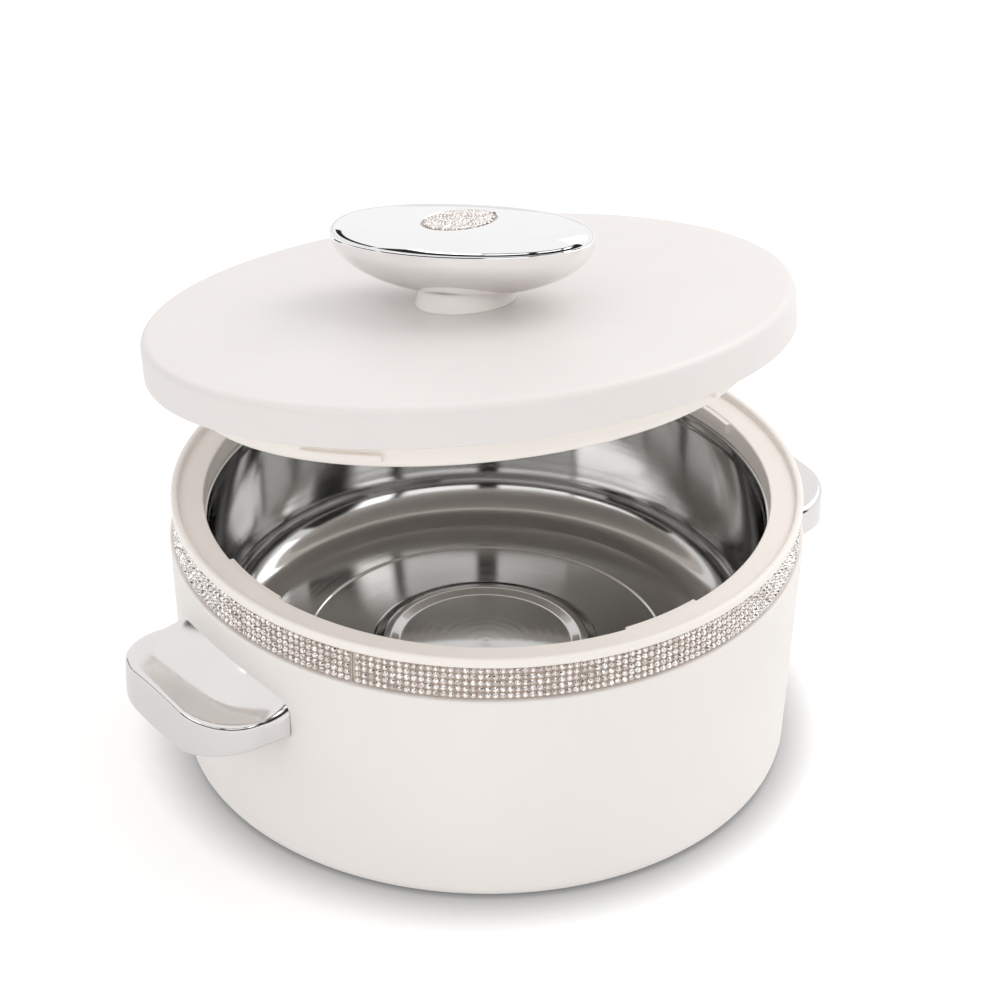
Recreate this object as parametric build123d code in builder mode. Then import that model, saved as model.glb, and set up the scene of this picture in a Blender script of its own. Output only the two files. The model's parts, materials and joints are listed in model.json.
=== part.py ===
"""Insulated chapati casserole: a double-walled pot with a steel bowl, and a lid that lifts off and locks.

Millimetres. The origin is the centre of the base on the table, Z is up, the front faces -Y and the
handles point along +X and -X. The lid is drawn raised and tilted above the open pot. Names that start
with "lid_", "plug_", "lug_" and "knob_" give heights along the lid's own axis, from its lower edge.
"""

import os
from math import cos, radians, sin, sqrt

from build123d import *

os.makedirs("parts", exist_ok=True)

# Pot, overall
pot_height = 113.5
lip_radius = 125.0
shoulder_step = 0.9
shoulder_drop = 18.3
shoulder_rounding = 1.0
shell_taper = 4.4
shell_wall = 2.6
foot_rounding = 6.6
rest_ring_width = 13.5

# Rim collar: raised lip, flat ledge, inner wall and the skirt that plugs into the shell
lip_width = 3.0
lip_height = 3.6
lip_rounding = 1.2
ledge_width = 10.0
ledge_drop = 2.5
ledge_wall = 2.4
bore_rounding = 0.8
bore_drop = 11.6
band_recess = 2.4
skirt_wall = 2.4
skirt_drop = 24.0
seat_ring_height = 2.5
skirt_clearance = 0.05

# Lock tabs inside the collar
tab_count = 4
tab_azimuth = 1.0
tab_reach = 1.8
tab_span = 17.0
tab_top_drop = 3.0
tab_height = 4.3
root_depth = 0.6

# Steel bowl
bowl_depth = 76.5
bowl_sheet = 0.8
bowl_disc_radius = 35.0
bowl_disc_rise = 0.9
bead_inner_run = 3.6
bead_width = 2.8
bead_outer_run = 4.6
bead_rise = 2.3
bead_rounding = 3.0
bead_blend = 4.0
step_radius = 72.0
step_width = 0.9
step_rise = 0.6
step_rounding = 1.5
bowl_corner_rounding = 17.0
bowl_draft = 0.6
bowl_setback = 1.2
rim_band_step = 0.6
rim_band_low = 5.0
rim_band_high = 3.6
rim_band_rounding = 2.0
rim_rounding = 1.2
rim_flange_overlap = 4.0

# Base cover, fill plug and foam
cover_overlap = 4.0
cover_clearance = 0.2
cover_recess = 0.8
cover_flange_thickness = 1.8
fill_hole_radius = 8.0
fill_plug_clearance = 0.1
fill_head_radius = 11.0
fill_head_thickness = 1.0
fill_stem_length = 3.6
fill_channel_radius = 9.5
fill_channel_height = 3.4
foam_gap = 0.3
foam_top_drop = 13.0

# Stone band
strip_thickness = 0.7
strip_clearance = 0.1
strip_seat = 0.05
band_rows = 5
row_gap = 0.2
stone_height = 1.3
seam_azimuth = 210.7
seam_gap = 0.28

# Handles
handle_projection = 29.1
handle_half_width = 38.6
handle_corner = 23.0
handle_rim_drop = 40.2
handle_rim_arch = 3.8
handle_thickness = 12.4
handle_belly = 4.8
handle_bottom_rounding = 1.5
handle_bury = 25.9
handle_blank_drop = 28.0
handle_seat = 0.05
dish_bury = 20.9
dish_wall_inset = 1.9
dish_wall_drop = 31.5
dish_wall_end_drop = 37.7
dish_slope_run = 1.0
dish_slope_fall = 1.2
dish_depth = 1.6
dish_valley_ratio = 0.47
dish_rim_run = 6.0
dish_rim_rise = 2.6
dish_top_drop = 20.0
dish_stations = (-1.17, -1.0, -0.85, -0.58, -0.29, 0.0, 0.29, 0.58, 0.85, 1.0, 1.17)
cavity_offset = 9.1
cavity_inset = 5.6
cavity_depth = 5.4
plate_thickness = 2.0
plate_clearance = 0.15
plate_ledge = 1.4

# Screws that hold the handles
screw_azimuths = (-9.5, 9.5, 170.5, 189.5)
screw_drop = 48.6
screw_radius = 1.9
screw_length = 10.4
screw_head_radius = 3.8
screw_head_thickness = 2.2
screw_seat_bite = 0.3
screw_seat_radius = 4.2
screw_seat_depth = 1.5
shell_hole_radius = 2.2
boss_hole_radius = 2.0
boss_hole_length = 11.0
screw_pocket_radius = 4.8
screw_pocket_depth = 3.2

# Where the lid is held: it swings about a level line far behind the pot
lift_axis_back = 271.0
lift_axis_drop = 9.4
lift_axis_yaw = 10.5
lift_axis_lean = 3.6
lift_angle = 13.25
seat_gap = 0.3

# Lid cover
lid_overhang = 2.15
lid_side_height = 15.5
lid_edge_rounding = 3.6
lid_wall = 2.4
lid_crown = 16.65
lid_pad_radius = 21.0
lid_boss_radius = 10.0
lid_boss_depth = 0.6

# Lid liner: flange, plug and lock lugs
liner_flange_thickness = 2.2
liner_clearance = 0.05
plug_gap = 2.8
plug_depth = 13.5
plug_wall = 2.4
plug_edge_rounding = 2.5
plug_inner_rounding = 1.0
lug_count = 4
lug_azimuth = 29.8
lug_reach = 2.0
lug_span = 17.5
lug_top = -7.9
lug_height = 2.7
lid_foam_pocket_radius = 12.0
lid_foam_pocket_floor = 6.0

# Knob
knob_azimuth = -64.0
knob_half_length = 57.0
knob_half_width = 29.5
knob_level = 42.7
knob_hull_depth = 22.5
knob_hull_steps = (0.0, 12.0, 24.0, 36.0, 48.0, 60.0, 70.0)
knob_wall = 2.4
knob_floor = 26.0
knob_edge_width = 10.0
knob_edge_height = 5.8
knob_edge_steps = (0.0, 20.0, 40.0, 60.0, 78.0)
knob_crown_shrink = 13.0
knob_crown_rise = 6.2
knob_top_hollow = 2.6
knob_stem_radius = 20.0
knob_stem_top_radius = 17.6
knob_stem_top = 24.0
knob_boss_radius = 6.0
knob_boss_top = 36.0
inset_radius = 14.8
inset_clearance = 0.1
inset_recess = 1.2
inset_thickness = 0.5
inset_stone_height = 1.1
inset_stone_margin = 0.2
knob_screw_radius = 1.9
knob_screw_length = 20.0
knob_screw_head_radius = 4.5
knob_screw_head_thickness = 3.0
knob_hole_radius = 2.2
knob_pilot_radius = 2.0
washer_radius = 8.0
washer_thickness = 1.2

# Radii that follow from the sizes above
shoulder_radius = lip_radius + shoulder_step
foot_radius = shoulder_radius - shell_taper
rest_ring_radius = foot_radius - rest_ring_width
lip_inner_radius = lip_radius - lip_width
bore_radius = lip_inner_radius - ledge_width
skirt_radius = lip_radius - band_recess
skirt_inner_radius = skirt_radius - skirt_wall
tab_radius = bore_radius - tab_reach
rim_band_radius = bore_radius - bowl_setback
bowl_wall_radius = rim_band_radius - rim_band_step
bowl_corner_radius = bowl_wall_radius - bowl_draft
rim_flange_radius = bore_radius + rim_flange_overlap
bead_inner_radius = bowl_disc_radius + bead_inner_run
bead_outer_radius = bead_inner_radius + bead_width
bead_foot_radius = bead_outer_radius + bead_outer_run
foam_bore_radius = rim_band_radius + bowl_sheet + foam_gap
cover_flange_radius = rest_ring_radius + cover_overlap
handle_reach = shoulder_radius + handle_projection
handle_root = shoulder_radius - handle_bury
dish_root = shoulder_radius - dish_bury
dish_wall_radius = shoulder_radius - dish_wall_inset
cavity_start = shoulder_radius + cavity_offset
lid_radius = lip_radius + lid_overhang
plug_radius = bore_radius - plug_gap
lug_radius = plug_radius + lug_reach

# Heights of the pot that follow from them
lip_bottom = pot_height - lip_height
ledge_top = pot_height - ledge_drop
bore_bottom = pot_height - bore_drop
skirt_bottom = pot_height - skirt_drop
shoulder_height = pot_height - shoulder_drop
bowl_floor = pot_height - bowl_depth
cover_top = shell_wall + cover_flange_thickness
handle_rim = pot_height - handle_rim_drop
handle_bottom = handle_rim - handle_thickness
handle_low = handle_bottom - handle_belly
screw_height = pot_height - screw_drop


def shell_radius(height):
    """Outer radius of the tapered shell at a height above the table."""
    return foot_radius + (shoulder_radius - foot_radius) * height / shoulder_height


screw_seat = shell_radius(screw_height) - shell_wall + screw_seat_bite


def outward(azimuth):
    """Level unit vector that points away from the pot's axis."""
    return Vector(cos(radians(azimuth)), sin(radians(azimuth)), 0)


def chord(radius, span):
    """Straight width of an arc of the given span in degrees."""
    return 2 * radius * sin(radians(span / 2))


# The lid's own planes: closed above the lip, then swung up about the lift axis
yaw = radians(-lift_axis_yaw)
lean = radians(lift_axis_lean)
lift_direction = Vector(-cos(lean) * cos(yaw), -cos(lean) * sin(yaw), -sin(lean))
lift_spin = Axis((0, 0, 0), lift_direction)
lift_point = Vector(0, lift_axis_back, pot_height - lift_axis_drop)
seat_point = Vector(0, 0, pot_height + seat_gap)
lid_centre = lift_point + (seat_point - lift_point).rotate(lift_spin, lift_angle)
lid_right = Vector(1, 0, 0).rotate(lift_spin, lift_angle)
lid_back = Vector(0, 1, 0).rotate(lift_spin, lift_angle)
lid_up = Vector(0, 0, 1).rotate(lift_spin, lift_angle)
lid_plane = Plane(origin=lid_centre, x_dir=lid_right, z_dir=lid_up)
lid_side = Plane(origin=lid_centre, x_dir=lid_right, z_dir=lid_back * -1)
lid_axis = Axis(lid_centre, lid_up)
knob_along = lid_right.rotate(Axis((0, 0, 0), lid_up), knob_azimuth)
knob_plane = Plane(origin=lid_centre, x_dir=knob_along, z_dir=lid_up)

# Rim collar
with BuildPart() as rim_collar:
    with BuildSketch(Plane.XZ):
        with BuildLine():
            FilletPolyline(
                (lip_radius, lip_bottom),
                (lip_radius, pot_height),
                (lip_inner_radius, pot_height),
                (lip_inner_radius, ledge_top),
                (bore_radius, ledge_top),
                (bore_radius, bore_bottom),
                (bore_radius + ledge_wall, bore_bottom),
                (bore_radius + ledge_wall, ledge_top - ledge_wall),
                (skirt_inner_radius, ledge_top - ledge_wall),
                (skirt_inner_radius, skirt_bottom),
                (skirt_radius, skirt_bottom),
                (skirt_radius, lip_bottom),
                radius=(0, lip_rounding, lip_rounding, 0, bore_rounding, 0, 0, 0, 0, 0, 0, 0),
                close=True,
            )
        make_face()
    revolve(axis=Axis.Z)
    with BuildSketch(Plane.XY.offset(pot_height - tab_top_drop - tab_height)):
        with PolarLocations(tab_radius, tab_count, start_angle=tab_azimuth):
            Rectangle(chord(tab_radius, tab_span) / 2, chord(tab_radius, tab_span))
        Circle(bore_radius + root_depth, mode=Mode.INTERSECT)
        Circle(tab_radius, mode=Mode.SUBTRACT)
    extrude(amount=tab_height)
rim_collar.part.label = "rim_collar"
export_step(rim_collar.part, "parts/rim_collar.step")

# Outer shell
seat_ring_bottom = skirt_bottom - seat_ring_height
seat_ring_foot = seat_ring_bottom - (shell_radius(seat_ring_bottom) - shell_wall - skirt_inner_radius)
with BuildPart() as outer_shell:
    with BuildSketch(Plane.XZ):
        with BuildLine():
            FilletPolyline(
                (rest_ring_radius, 0),
                (foot_radius, 0),
                (shoulder_radius, shoulder_height),
                (skirt_radius + skirt_clearance, shoulder_height),
                (skirt_radius + skirt_clearance, skirt_bottom),
                (skirt_inner_radius, skirt_bottom),
                (skirt_inner_radius, seat_ring_bottom),
                (shell_radius(seat_ring_foot) - shell_wall, seat_ring_foot),
                (shell_radius(shell_wall) - shell_wall, shell_wall),
                (rest_ring_radius, shell_wall),
                radius=(0, foot_rounding, shoulder_rounding, 0, 0, 0, 0, 0, foot_rounding - shell_wall, 0),
                close=True,
            )
        make_face()
    revolve(axis=Axis.Z)
    for azimuth in screw_azimuths:
        seat = outward(azimuth) * screw_seat + Vector(0, 0, screw_height)
        seat_plane = Plane(origin=seat, x_dir=(0, 0, 1), z_dir=outward(azimuth))
        with BuildSketch(seat_plane):
            Circle(screw_seat_radius)
        extrude(amount=-screw_seat_depth, mode=Mode.SUBTRACT)
        with BuildSketch(seat_plane):
            Circle(shell_hole_radius)
        extrude(amount=boss_hole_length, mode=Mode.SUBTRACT)
outer_shell.part.label = "outer_shell"
export_step(outer_shell.part, "parts/outer_shell.step")

# Steel bowl, pressed from one sheet
rim_level = bore_bottom
step_floor = bowl_floor + step_rise
with BuildPart() as inner_bowl:
    with BuildSketch(Plane.XZ):
        with BuildLine():
            FilletPolyline(
                (0, bowl_floor + bowl_disc_rise),
                (bowl_disc_radius, bowl_floor + bowl_disc_rise),
                (bead_inner_radius, bowl_floor + bead_rise),
                (bead_outer_radius, bowl_floor + bead_rise),
                (bead_foot_radius, bowl_floor),
                (step_radius, bowl_floor),
                (step_radius + step_width, step_floor),
                (bowl_corner_radius, step_floor),
                (bowl_wall_radius, rim_level - rim_band_low),
                (rim_band_radius, rim_level - rim_band_high),
                (rim_band_radius, rim_level),
                (rim_flange_radius, rim_level),
                radius=(
                    bead_blend,
                    bead_rounding,
                    bead_rounding,
                    bead_blend,
                    step_rounding,
                    step_rounding,
                    bowl_corner_rounding,
                    rim_band_rounding,
                    rim_band_rounding,
                    rim_rounding,
                ),
            )
            offset(amount=bowl_sheet, side=Side.RIGHT)
        make_face()
    revolve(axis=Axis.Z)
inner_bowl.part.label = "inner_bowl"
export_step(inner_bowl.part, "parts/inner_bowl.step")

# Base cover
with BuildPart() as base_cover:
    with BuildSketch(Plane.XY.offset(cover_recess)):
        Circle(rest_ring_radius - cover_clearance)
    extrude(amount=shell_wall - cover_recess)
    with BuildSketch(Plane.XY.offset(shell_wall)):
        Circle(cover_flange_radius)
    extrude(amount=cover_flange_thickness)
    with BuildSketch(Plane.XY.offset(cover_recess)):
        Circle(fill_hole_radius)
    extrude(amount=cover_top, mode=Mode.SUBTRACT)
    with BuildSketch(Plane.XY.offset(cover_recess)):
        Circle(fill_head_radius + fill_plug_clearance)
    extrude(amount=fill_head_thickness, mode=Mode.SUBTRACT)
base_cover.part.label = "base_cover"
export_step(base_cover.part, "parts/base_cover.step")

# Fill plug
with BuildPart() as fill_plug:
    with BuildSketch(Plane.XY.offset(cover_recess)):
        Circle(fill_head_radius)
    extrude(amount=fill_head_thickness)
    with BuildSketch(Plane.XY.offset(cover_recess + fill_head_thickness)):
        Circle(fill_hole_radius - fill_plug_clearance)
    extrude(amount=fill_stem_length)
fill_plug.part.label = "fill_plug"
export_step(fill_plug.part, "parts/fill_plug.step")

# Foam of the pot: it carries the bowl's floor and stands on the base cover
foam_floor = shell_wall + foam_gap
foam_skin = shell_wall + foam_gap
foam_neck_radius = skirt_inner_radius - foam_gap
foam_neck_top = seat_ring_bottom - foam_gap
foam_neck_foot = foam_neck_top - (shell_radius(foam_neck_top) - foam_skin - foam_neck_radius)
with BuildPart() as pot_foam:
    with BuildSketch(Plane.XZ):
        with BuildLine():
            FilletPolyline(
                (0, cover_top + fill_channel_height),
                (fill_channel_radius, cover_top + fill_channel_height),
                (fill_channel_radius, cover_top),
                (cover_flange_radius + foam_gap, cover_top),
                (cover_flange_radius + foam_gap, foam_floor),
                (shell_radius(foam_floor) - foam_skin, foam_floor),
                (shell_radius(foam_neck_foot) - foam_skin, foam_neck_foot),
                (foam_neck_radius, foam_neck_top),
                (foam_neck_radius, pot_height - foam_top_drop),
                (foam_bore_radius, pot_height - foam_top_drop),
                (foam_bore_radius, bowl_floor - bowl_sheet),
                (0, bowl_floor - bowl_sheet),
                radius=(
                    0, 0, 0, 0, 0, foot_rounding - foam_skin, 0, 0, 0, 0,
                    bowl_corner_rounding + bowl_sheet + foam_gap, 0,
                ),
                close=True,
            )
        make_face()
    revolve(axis=Axis.Z)
    for azimuth in screw_azimuths:
        seat = outward(azimuth) * screw_seat + Vector(0, 0, screw_height)
        with BuildSketch(Plane(origin=seat, x_dir=(0, 0, 1), z_dir=outward(azimuth))):
            Circle(screw_pocket_radius)
        extrude(amount=-screw_pocket_depth, mode=Mode.SUBTRACT)
pot_foam.part.label = "pot_foam"
export_step(pot_foam.part, "parts/pot_foam.step")

# Backing strip of the stone band, with its seam
strip_inner_radius = skirt_radius + strip_seat
strip_outer_radius = strip_inner_radius + strip_thickness
strip_bottom = shoulder_height + strip_clearance
strip_top = lip_bottom - strip_clearance
seam_plane = Plane(origin=(0, 0, 0), x_dir=outward(seam_azimuth), z_dir=outward(seam_azimuth - 90))
with BuildPart() as band_strip:
    with BuildSketch(seam_plane):
        with Locations((strip_inner_radius, strip_bottom)):
            Rectangle(strip_thickness, strip_top - strip_bottom, align=(Align.MIN, Align.MIN))
    revolve(axis=Axis.Z, revolution_arc=360 - seam_gap)
band_strip.part.label = "band_strip"
export_step(band_strip.part, "parts/band_strip.step")

# Five rows of stones, each drawn as a plain ring
row_pitch = (strip_top - strip_bottom) / band_rows
with BuildPart() as band_stones:
    for row in range(band_rows):
        with BuildSketch(seam_plane):
            with Locations((strip_outer_radius + strip_seat, strip_bottom + row * row_pitch + row_gap / 2)):
                Rectangle(stone_height, row_pitch - row_gap, align=(Align.MIN, Align.MIN))
        revolve(axis=Axis.Z, revolution_arc=360 - seam_gap)
band_stones.part.label = "band_stones"
export_step(band_stones.part, "parts/band_stones.step")


# Handles: a rounded shelf, scooped out behind an arched rim and bellied below
def handle_edge(side):
    """How far the handle's outline reaches from the pot's axis, at a distance to the side."""
    past_corner = abs(side) - (handle_half_width - handle_corner)
    if past_corner <= 0:
        return handle_reach
    if past_corner >= handle_corner:
        return handle_reach - handle_corner
    return handle_reach - handle_corner + sqrt(handle_corner**2 - past_corner**2)


def dish_fade(side):
    """One in the middle of the handle, falling smoothly to nothing at its ends."""
    share = min(abs(side) / handle_half_width, 1)
    return 1 - share**2


with BuildPart() as dish_cutter:
    for station in dish_stations:
        side = station * handle_half_width
        fade = dish_fade(side)
        edge = handle_edge(side)
        wall = sqrt(dish_wall_radius**2 - side**2)
        wall_height = pot_height - dish_wall_end_drop + (dish_wall_end_drop - dish_wall_drop) * fade
        valley = wall + (edge - wall) * dish_valley_ratio
        rim_end = edge + dish_rim_run
        rim_height = handle_rim + handle_rim_arch * fade
        rim_end_height = rim_height + dish_rim_rise * fade
        cutter_top = pot_height - dish_top_drop
        with BuildSketch(Plane.XZ.offset(-side)):
            with BuildLine():
                Spline(
                    (wall, wall_height),
                    (valley, handle_rim - dish_depth * fade),
                    (edge, rim_height),
                    (rim_end, rim_end_height),
                    tangents=((dish_slope_run, -dish_slope_fall), (dish_rim_run, dish_rim_rise * fade)),
                )
                Line((rim_end, rim_end_height), (rim_end, cutter_top))
                Line((rim_end, cutter_top), (dish_root, cutter_top))
                Line((dish_root, cutter_top), (dish_root, wall_height))
                Line((dish_root, wall_height), (wall, wall_height))
            make_face()
    loft()

def handle_outline(inset, start, level):
    """Plan of a handle at a level, drawn in by an inset and cut off square towards the wall."""
    with BuildSketch(Plane.XY.offset(level)) as outline:
        with Locations((handle_root, 0)):
            Rectangle(
                handle_reach - inset - handle_root,
                2 * (handle_half_width - inset),
                align=(Align.MIN, Align.CENTER),
            )
        fillet(outline.vertices().group_by(Axis.X)[-1], handle_corner - inset)
        with Locations((start, 0)):
            Rectangle(
                handle_reach,
                2 * handle_half_width,
                align=(Align.MIN, Align.CENTER),
                mode=Mode.INTERSECT,
            )
    return outline.sketch


with BuildPart() as handle_right:
    extrude(handle_outline(0, handle_root, handle_low), amount=pot_height - handle_blank_drop - handle_low)
    with BuildSketch(Plane.YZ):
        with BuildLine():
            ThreePointArc((-handle_half_width, handle_bottom), (0, handle_low), (handle_half_width, handle_bottom))
            Line((handle_half_width, handle_bottom), (handle_half_width, handle_low - handle_belly))
            Line((handle_half_width, handle_low - handle_belly), (-handle_half_width, handle_low - handle_belly))
            Line((-handle_half_width, handle_low - handle_belly), (-handle_half_width, handle_bottom))
        make_face()
    extrude(amount=handle_reach, mode=Mode.SUBTRACT)
    belly_face = handle_right.faces().sort_by(Axis.Z)[0]
    fillet(belly_face.edges().sort_by(Axis.X)[1:], handle_bottom_rounding)
    add(dish_cutter.part, mode=Mode.SUBTRACT)
    with BuildSketch(Plane.XZ):
        with BuildLine():
            Polyline(
                (0, 0),
                (foot_radius + handle_seat, 0),
                (shoulder_radius + handle_seat, shoulder_height),
                (0, shoulder_height),
                (0, 0),
            )
        make_face()
    revolve(axis=Axis.Z, mode=Mode.SUBTRACT)
    cavity = handle_outline(cavity_inset, cavity_start, handle_low)
    extrude(cavity, amount=handle_belly + cavity_depth, mode=Mode.SUBTRACT)
    plate_recess = handle_outline(cavity_inset - plate_ledge, cavity_start - plate_ledge, handle_low)
    extrude(plate_recess, amount=handle_belly + plate_thickness, mode=Mode.SUBTRACT)
    for azimuth in screw_azimuths[:2]:
        seat = outward(azimuth) * screw_seat + Vector(0, 0, screw_height)
        with BuildSketch(Plane(origin=seat, x_dir=(0, 0, 1), z_dir=outward(azimuth))):
            Circle(boss_hole_radius)
        extrude(amount=boss_hole_length, mode=Mode.SUBTRACT)
handle_right.part.label = "handle_right"
export_step(handle_right.part, "parts/handle_right.step")

with BuildPart() as handle_left:
    mirror(handle_right.part, about=Plane.YZ)
handle_left.part.label = "handle_left"
export_step(handle_left.part, "parts/handle_left.step")

# Plates that close the handles from below
plate_margin = plate_ledge - plate_clearance
with BuildPart() as handle_right_plate:
    plate_outline = handle_outline(cavity_inset - plate_margin, cavity_start - plate_margin, handle_bottom)
    extrude(plate_outline, amount=plate_thickness)
handle_right_plate.part.label = "handle_right_plate"
export_step(handle_right_plate.part, "parts/handle_right_plate.step")

with BuildPart() as handle_left_plate:
    mirror(handle_right_plate.part, about=Plane.YZ)
handle_left_plate.part.label = "handle_left_plate"
export_step(handle_left_plate.part, "parts/handle_left_plate.step")

# Four screws from inside the shell into the handles
with BuildPart() as handle_screws:
    for azimuth in screw_azimuths:
        seat = outward(azimuth) * screw_seat + Vector(0, 0, screw_height)
        seat_plane = Plane(origin=seat, x_dir=(0, 0, 1), z_dir=outward(azimuth))
        with BuildSketch(seat_plane):
            Circle(screw_radius)
        extrude(amount=screw_length)
        with BuildSketch(seat_plane):
            Circle(screw_head_radius)
        extrude(amount=-screw_head_thickness)
handle_screws.part.label = "handle_screws"
export_step(handle_screws.part, "parts/handle_screws.step")


# Lid cover: shallow crown with a straight skirt
def crown_height(radius):
    """Height of the lid's crowned top at a radius."""
    return lid_crown - (lid_crown - lid_side_height) * (radius / lid_radius) ** 2


lid_inner_radius = lid_radius - lid_wall
lid_pad_height = crown_height(lid_pad_radius)
lid_mid_radius = (lid_pad_radius + lid_radius) / 2
lid_inner_mid_radius = (lid_boss_radius + lid_inner_radius) / 2
lid_boss_bottom = crown_height(lid_boss_radius) - lid_wall - lid_boss_depth
with BuildPart() as lid_cover:
    with BuildSketch(lid_side) as lid_profile:
        with BuildLine():
            Line((knob_hole_radius, lid_pad_height), (lid_pad_radius, lid_pad_height))
            ThreePointArc(
                (lid_pad_radius, lid_pad_height),
                (lid_mid_radius, crown_height(lid_mid_radius)),
                (lid_radius, lid_side_height),
            )
            Line((lid_radius, lid_side_height), (lid_radius, 0))
            Line((lid_radius, 0), (lid_inner_radius, 0))
            Line((lid_inner_radius, 0), (lid_inner_radius, crown_height(lid_inner_radius) - lid_wall))
            ThreePointArc(
                (lid_inner_radius, crown_height(lid_inner_radius) - lid_wall),
                (lid_inner_mid_radius, crown_height(lid_inner_mid_radius) - lid_wall),
                (lid_boss_radius, crown_height(lid_boss_radius) - lid_wall),
            )
            Line((lid_boss_radius, crown_height(lid_boss_radius) - lid_wall), (lid_boss_radius, lid_boss_bottom))
            Line((lid_boss_radius, lid_boss_bottom), (knob_hole_radius, lid_boss_bottom))
            Line((knob_hole_radius, lid_boss_bottom), (knob_hole_radius, lid_pad_height))
        make_face()
    revolve(axis=lid_axis)
    rim_circles = lid_cover.edges().filter_by(GeomType.CIRCLE)
    outer_edge = [e for e in rim_circles if abs(e.radius - lid_radius) < seat_gap]
    inner_edge = [e for e in rim_circles if abs(e.radius - lid_inner_radius) < seat_gap]
    fillet(ShapeList(outer_edge).sort_by(lid_axis)[-1], lid_edge_rounding)
    fillet(ShapeList(inner_edge).sort_by(lid_axis)[-1], lid_edge_rounding - lid_wall)
lid_cover.part.label = "lid_cover"
export_step(lid_cover.part, "parts/lid_cover.step")

# Lid liner: flange under the cover, round plug and four lock lugs
with BuildPart() as lid_liner:
    with BuildSketch(lid_side):
        with BuildLine():
            FilletPolyline(
                (0, -plug_depth),
                (plug_radius, -plug_depth),
                (plug_radius, 0),
                (lid_inner_radius - liner_clearance, 0),
                (lid_inner_radius - liner_clearance, liner_flange_thickness),
                (plug_radius - plug_wall, liner_flange_thickness),
                (plug_radius - plug_wall, plug_wall - plug_depth),
                (0, plug_wall - plug_depth),
                radius=(0, plug_edge_rounding, 0, 0, 0, 0, plug_inner_rounding, 0),
                close=True,
            )
        make_face()
    revolve(axis=lid_axis)
    with BuildSketch(lid_plane.offset(lug_top - lug_height)):
        with PolarLocations(plug_radius, lug_count, start_angle=lug_azimuth):
            Rectangle(chord(lug_radius, lug_span) / 2, chord(lug_radius, lug_span))
        Circle(lug_radius, mode=Mode.INTERSECT)
        Circle(plug_radius - root_depth, mode=Mode.SUBTRACT)
    extrude(amount=lug_height)
lid_liner.part.label = "lid_liner"
export_step(lid_liner.part, "parts/lid_liner.step")

# Foam inside the lid
lid_foam_radius = lid_inner_radius - foam_gap
plug_foam_radius = plug_radius - plug_wall - foam_gap
lid_foam_bottom = plug_wall - plug_depth + foam_gap
lid_foam_step = liner_flange_thickness + foam_gap
lid_foam_top = crown_height(lid_foam_radius) - lid_wall - foam_gap
lid_foam_pocket_top = crown_height(lid_foam_pocket_radius) - lid_wall - foam_gap
with BuildPart() as lid_foam:
    with BuildSketch(lid_side):
        with BuildLine():
            FilletPolyline(
                (0, lid_foam_bottom),
                (plug_foam_radius, lid_foam_bottom),
                (plug_foam_radius, lid_foam_step),
                (lid_foam_radius, lid_foam_step),
                (lid_foam_radius, lid_foam_top),
                (lid_foam_pocket_radius, lid_foam_pocket_top),
                (lid_foam_pocket_radius, lid_foam_pocket_floor),
                (0, lid_foam_pocket_floor),
                radius=(0, plug_inner_rounding, 0, 0, lid_edge_rounding - lid_wall, 0, 0, 0),
                close=True,
            )
        make_face()
    revolve(axis=lid_axis)
lid_foam.part.label = "lid_foam"
export_step(lid_foam.part, "parts/lid_foam.step")

# Shape of the knob's hull, used whole as a cutter for its stem
hull_low = knob_level - knob_hull_depth * sin(radians(knob_hull_steps[-1]))
with BuildPart() as hull_blank:
    for step in knob_hull_steps:
        with BuildSketch(knob_plane.offset(knob_level - knob_hull_depth * sin(radians(step)))):
            Ellipse(knob_half_length * cos(radians(step)), knob_half_width * cos(radians(step)))
    loft()

# Knob stem: round foot on the lid that cups the hull
with BuildPart() as knob_stem:
    with BuildSketch(knob_plane.offset(lid_pad_height)):
        Circle(knob_stem_radius)
    with BuildSketch(knob_plane.offset(knob_stem_top)):
        Circle(knob_stem_top_radius)
    loft()
    add(hull_blank.part, mode=Mode.SUBTRACT)
    with BuildSketch(knob_plane.offset(lid_pad_height)):
        Circle(knob_hole_radius)
    extrude(amount=knob_stem_top - lid_pad_height, mode=Mode.SUBTRACT)
knob_stem.part.label = "knob_stem"
export_step(knob_stem.part, "parts/knob_stem.step")

# Hollow inside the hull
with BuildPart() as hull_hollow:
    for step in knob_hull_steps:
        level = knob_level - (knob_level - knob_floor) * sin(radians(step)) / sin(radians(knob_hull_steps[-1]))
        with BuildSketch(knob_plane.offset(level)):
            Ellipse(
                (knob_half_length - knob_wall) * cos(radians(step)),
                (knob_half_width - knob_wall) * cos(radians(step)),
            )
    loft()

# Knob body: silver hull with a boss for the screw
with BuildPart() as knob_body:
    add(hull_blank.part)
    add(hull_hollow.part, mode=Mode.SUBTRACT)
    with BuildSketch(knob_plane.offset(hull_low)):
        Circle(knob_boss_radius)
    extrude(amount=knob_boss_top - hull_low)
    with BuildSketch(knob_plane.offset(hull_low)):
        Circle(knob_pilot_radius)
    extrude(amount=knob_boss_top - hull_low, mode=Mode.SUBTRACT)
knob_body.part.label = "knob_body"
export_step(knob_body.part, "parts/knob_body.step")

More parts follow.
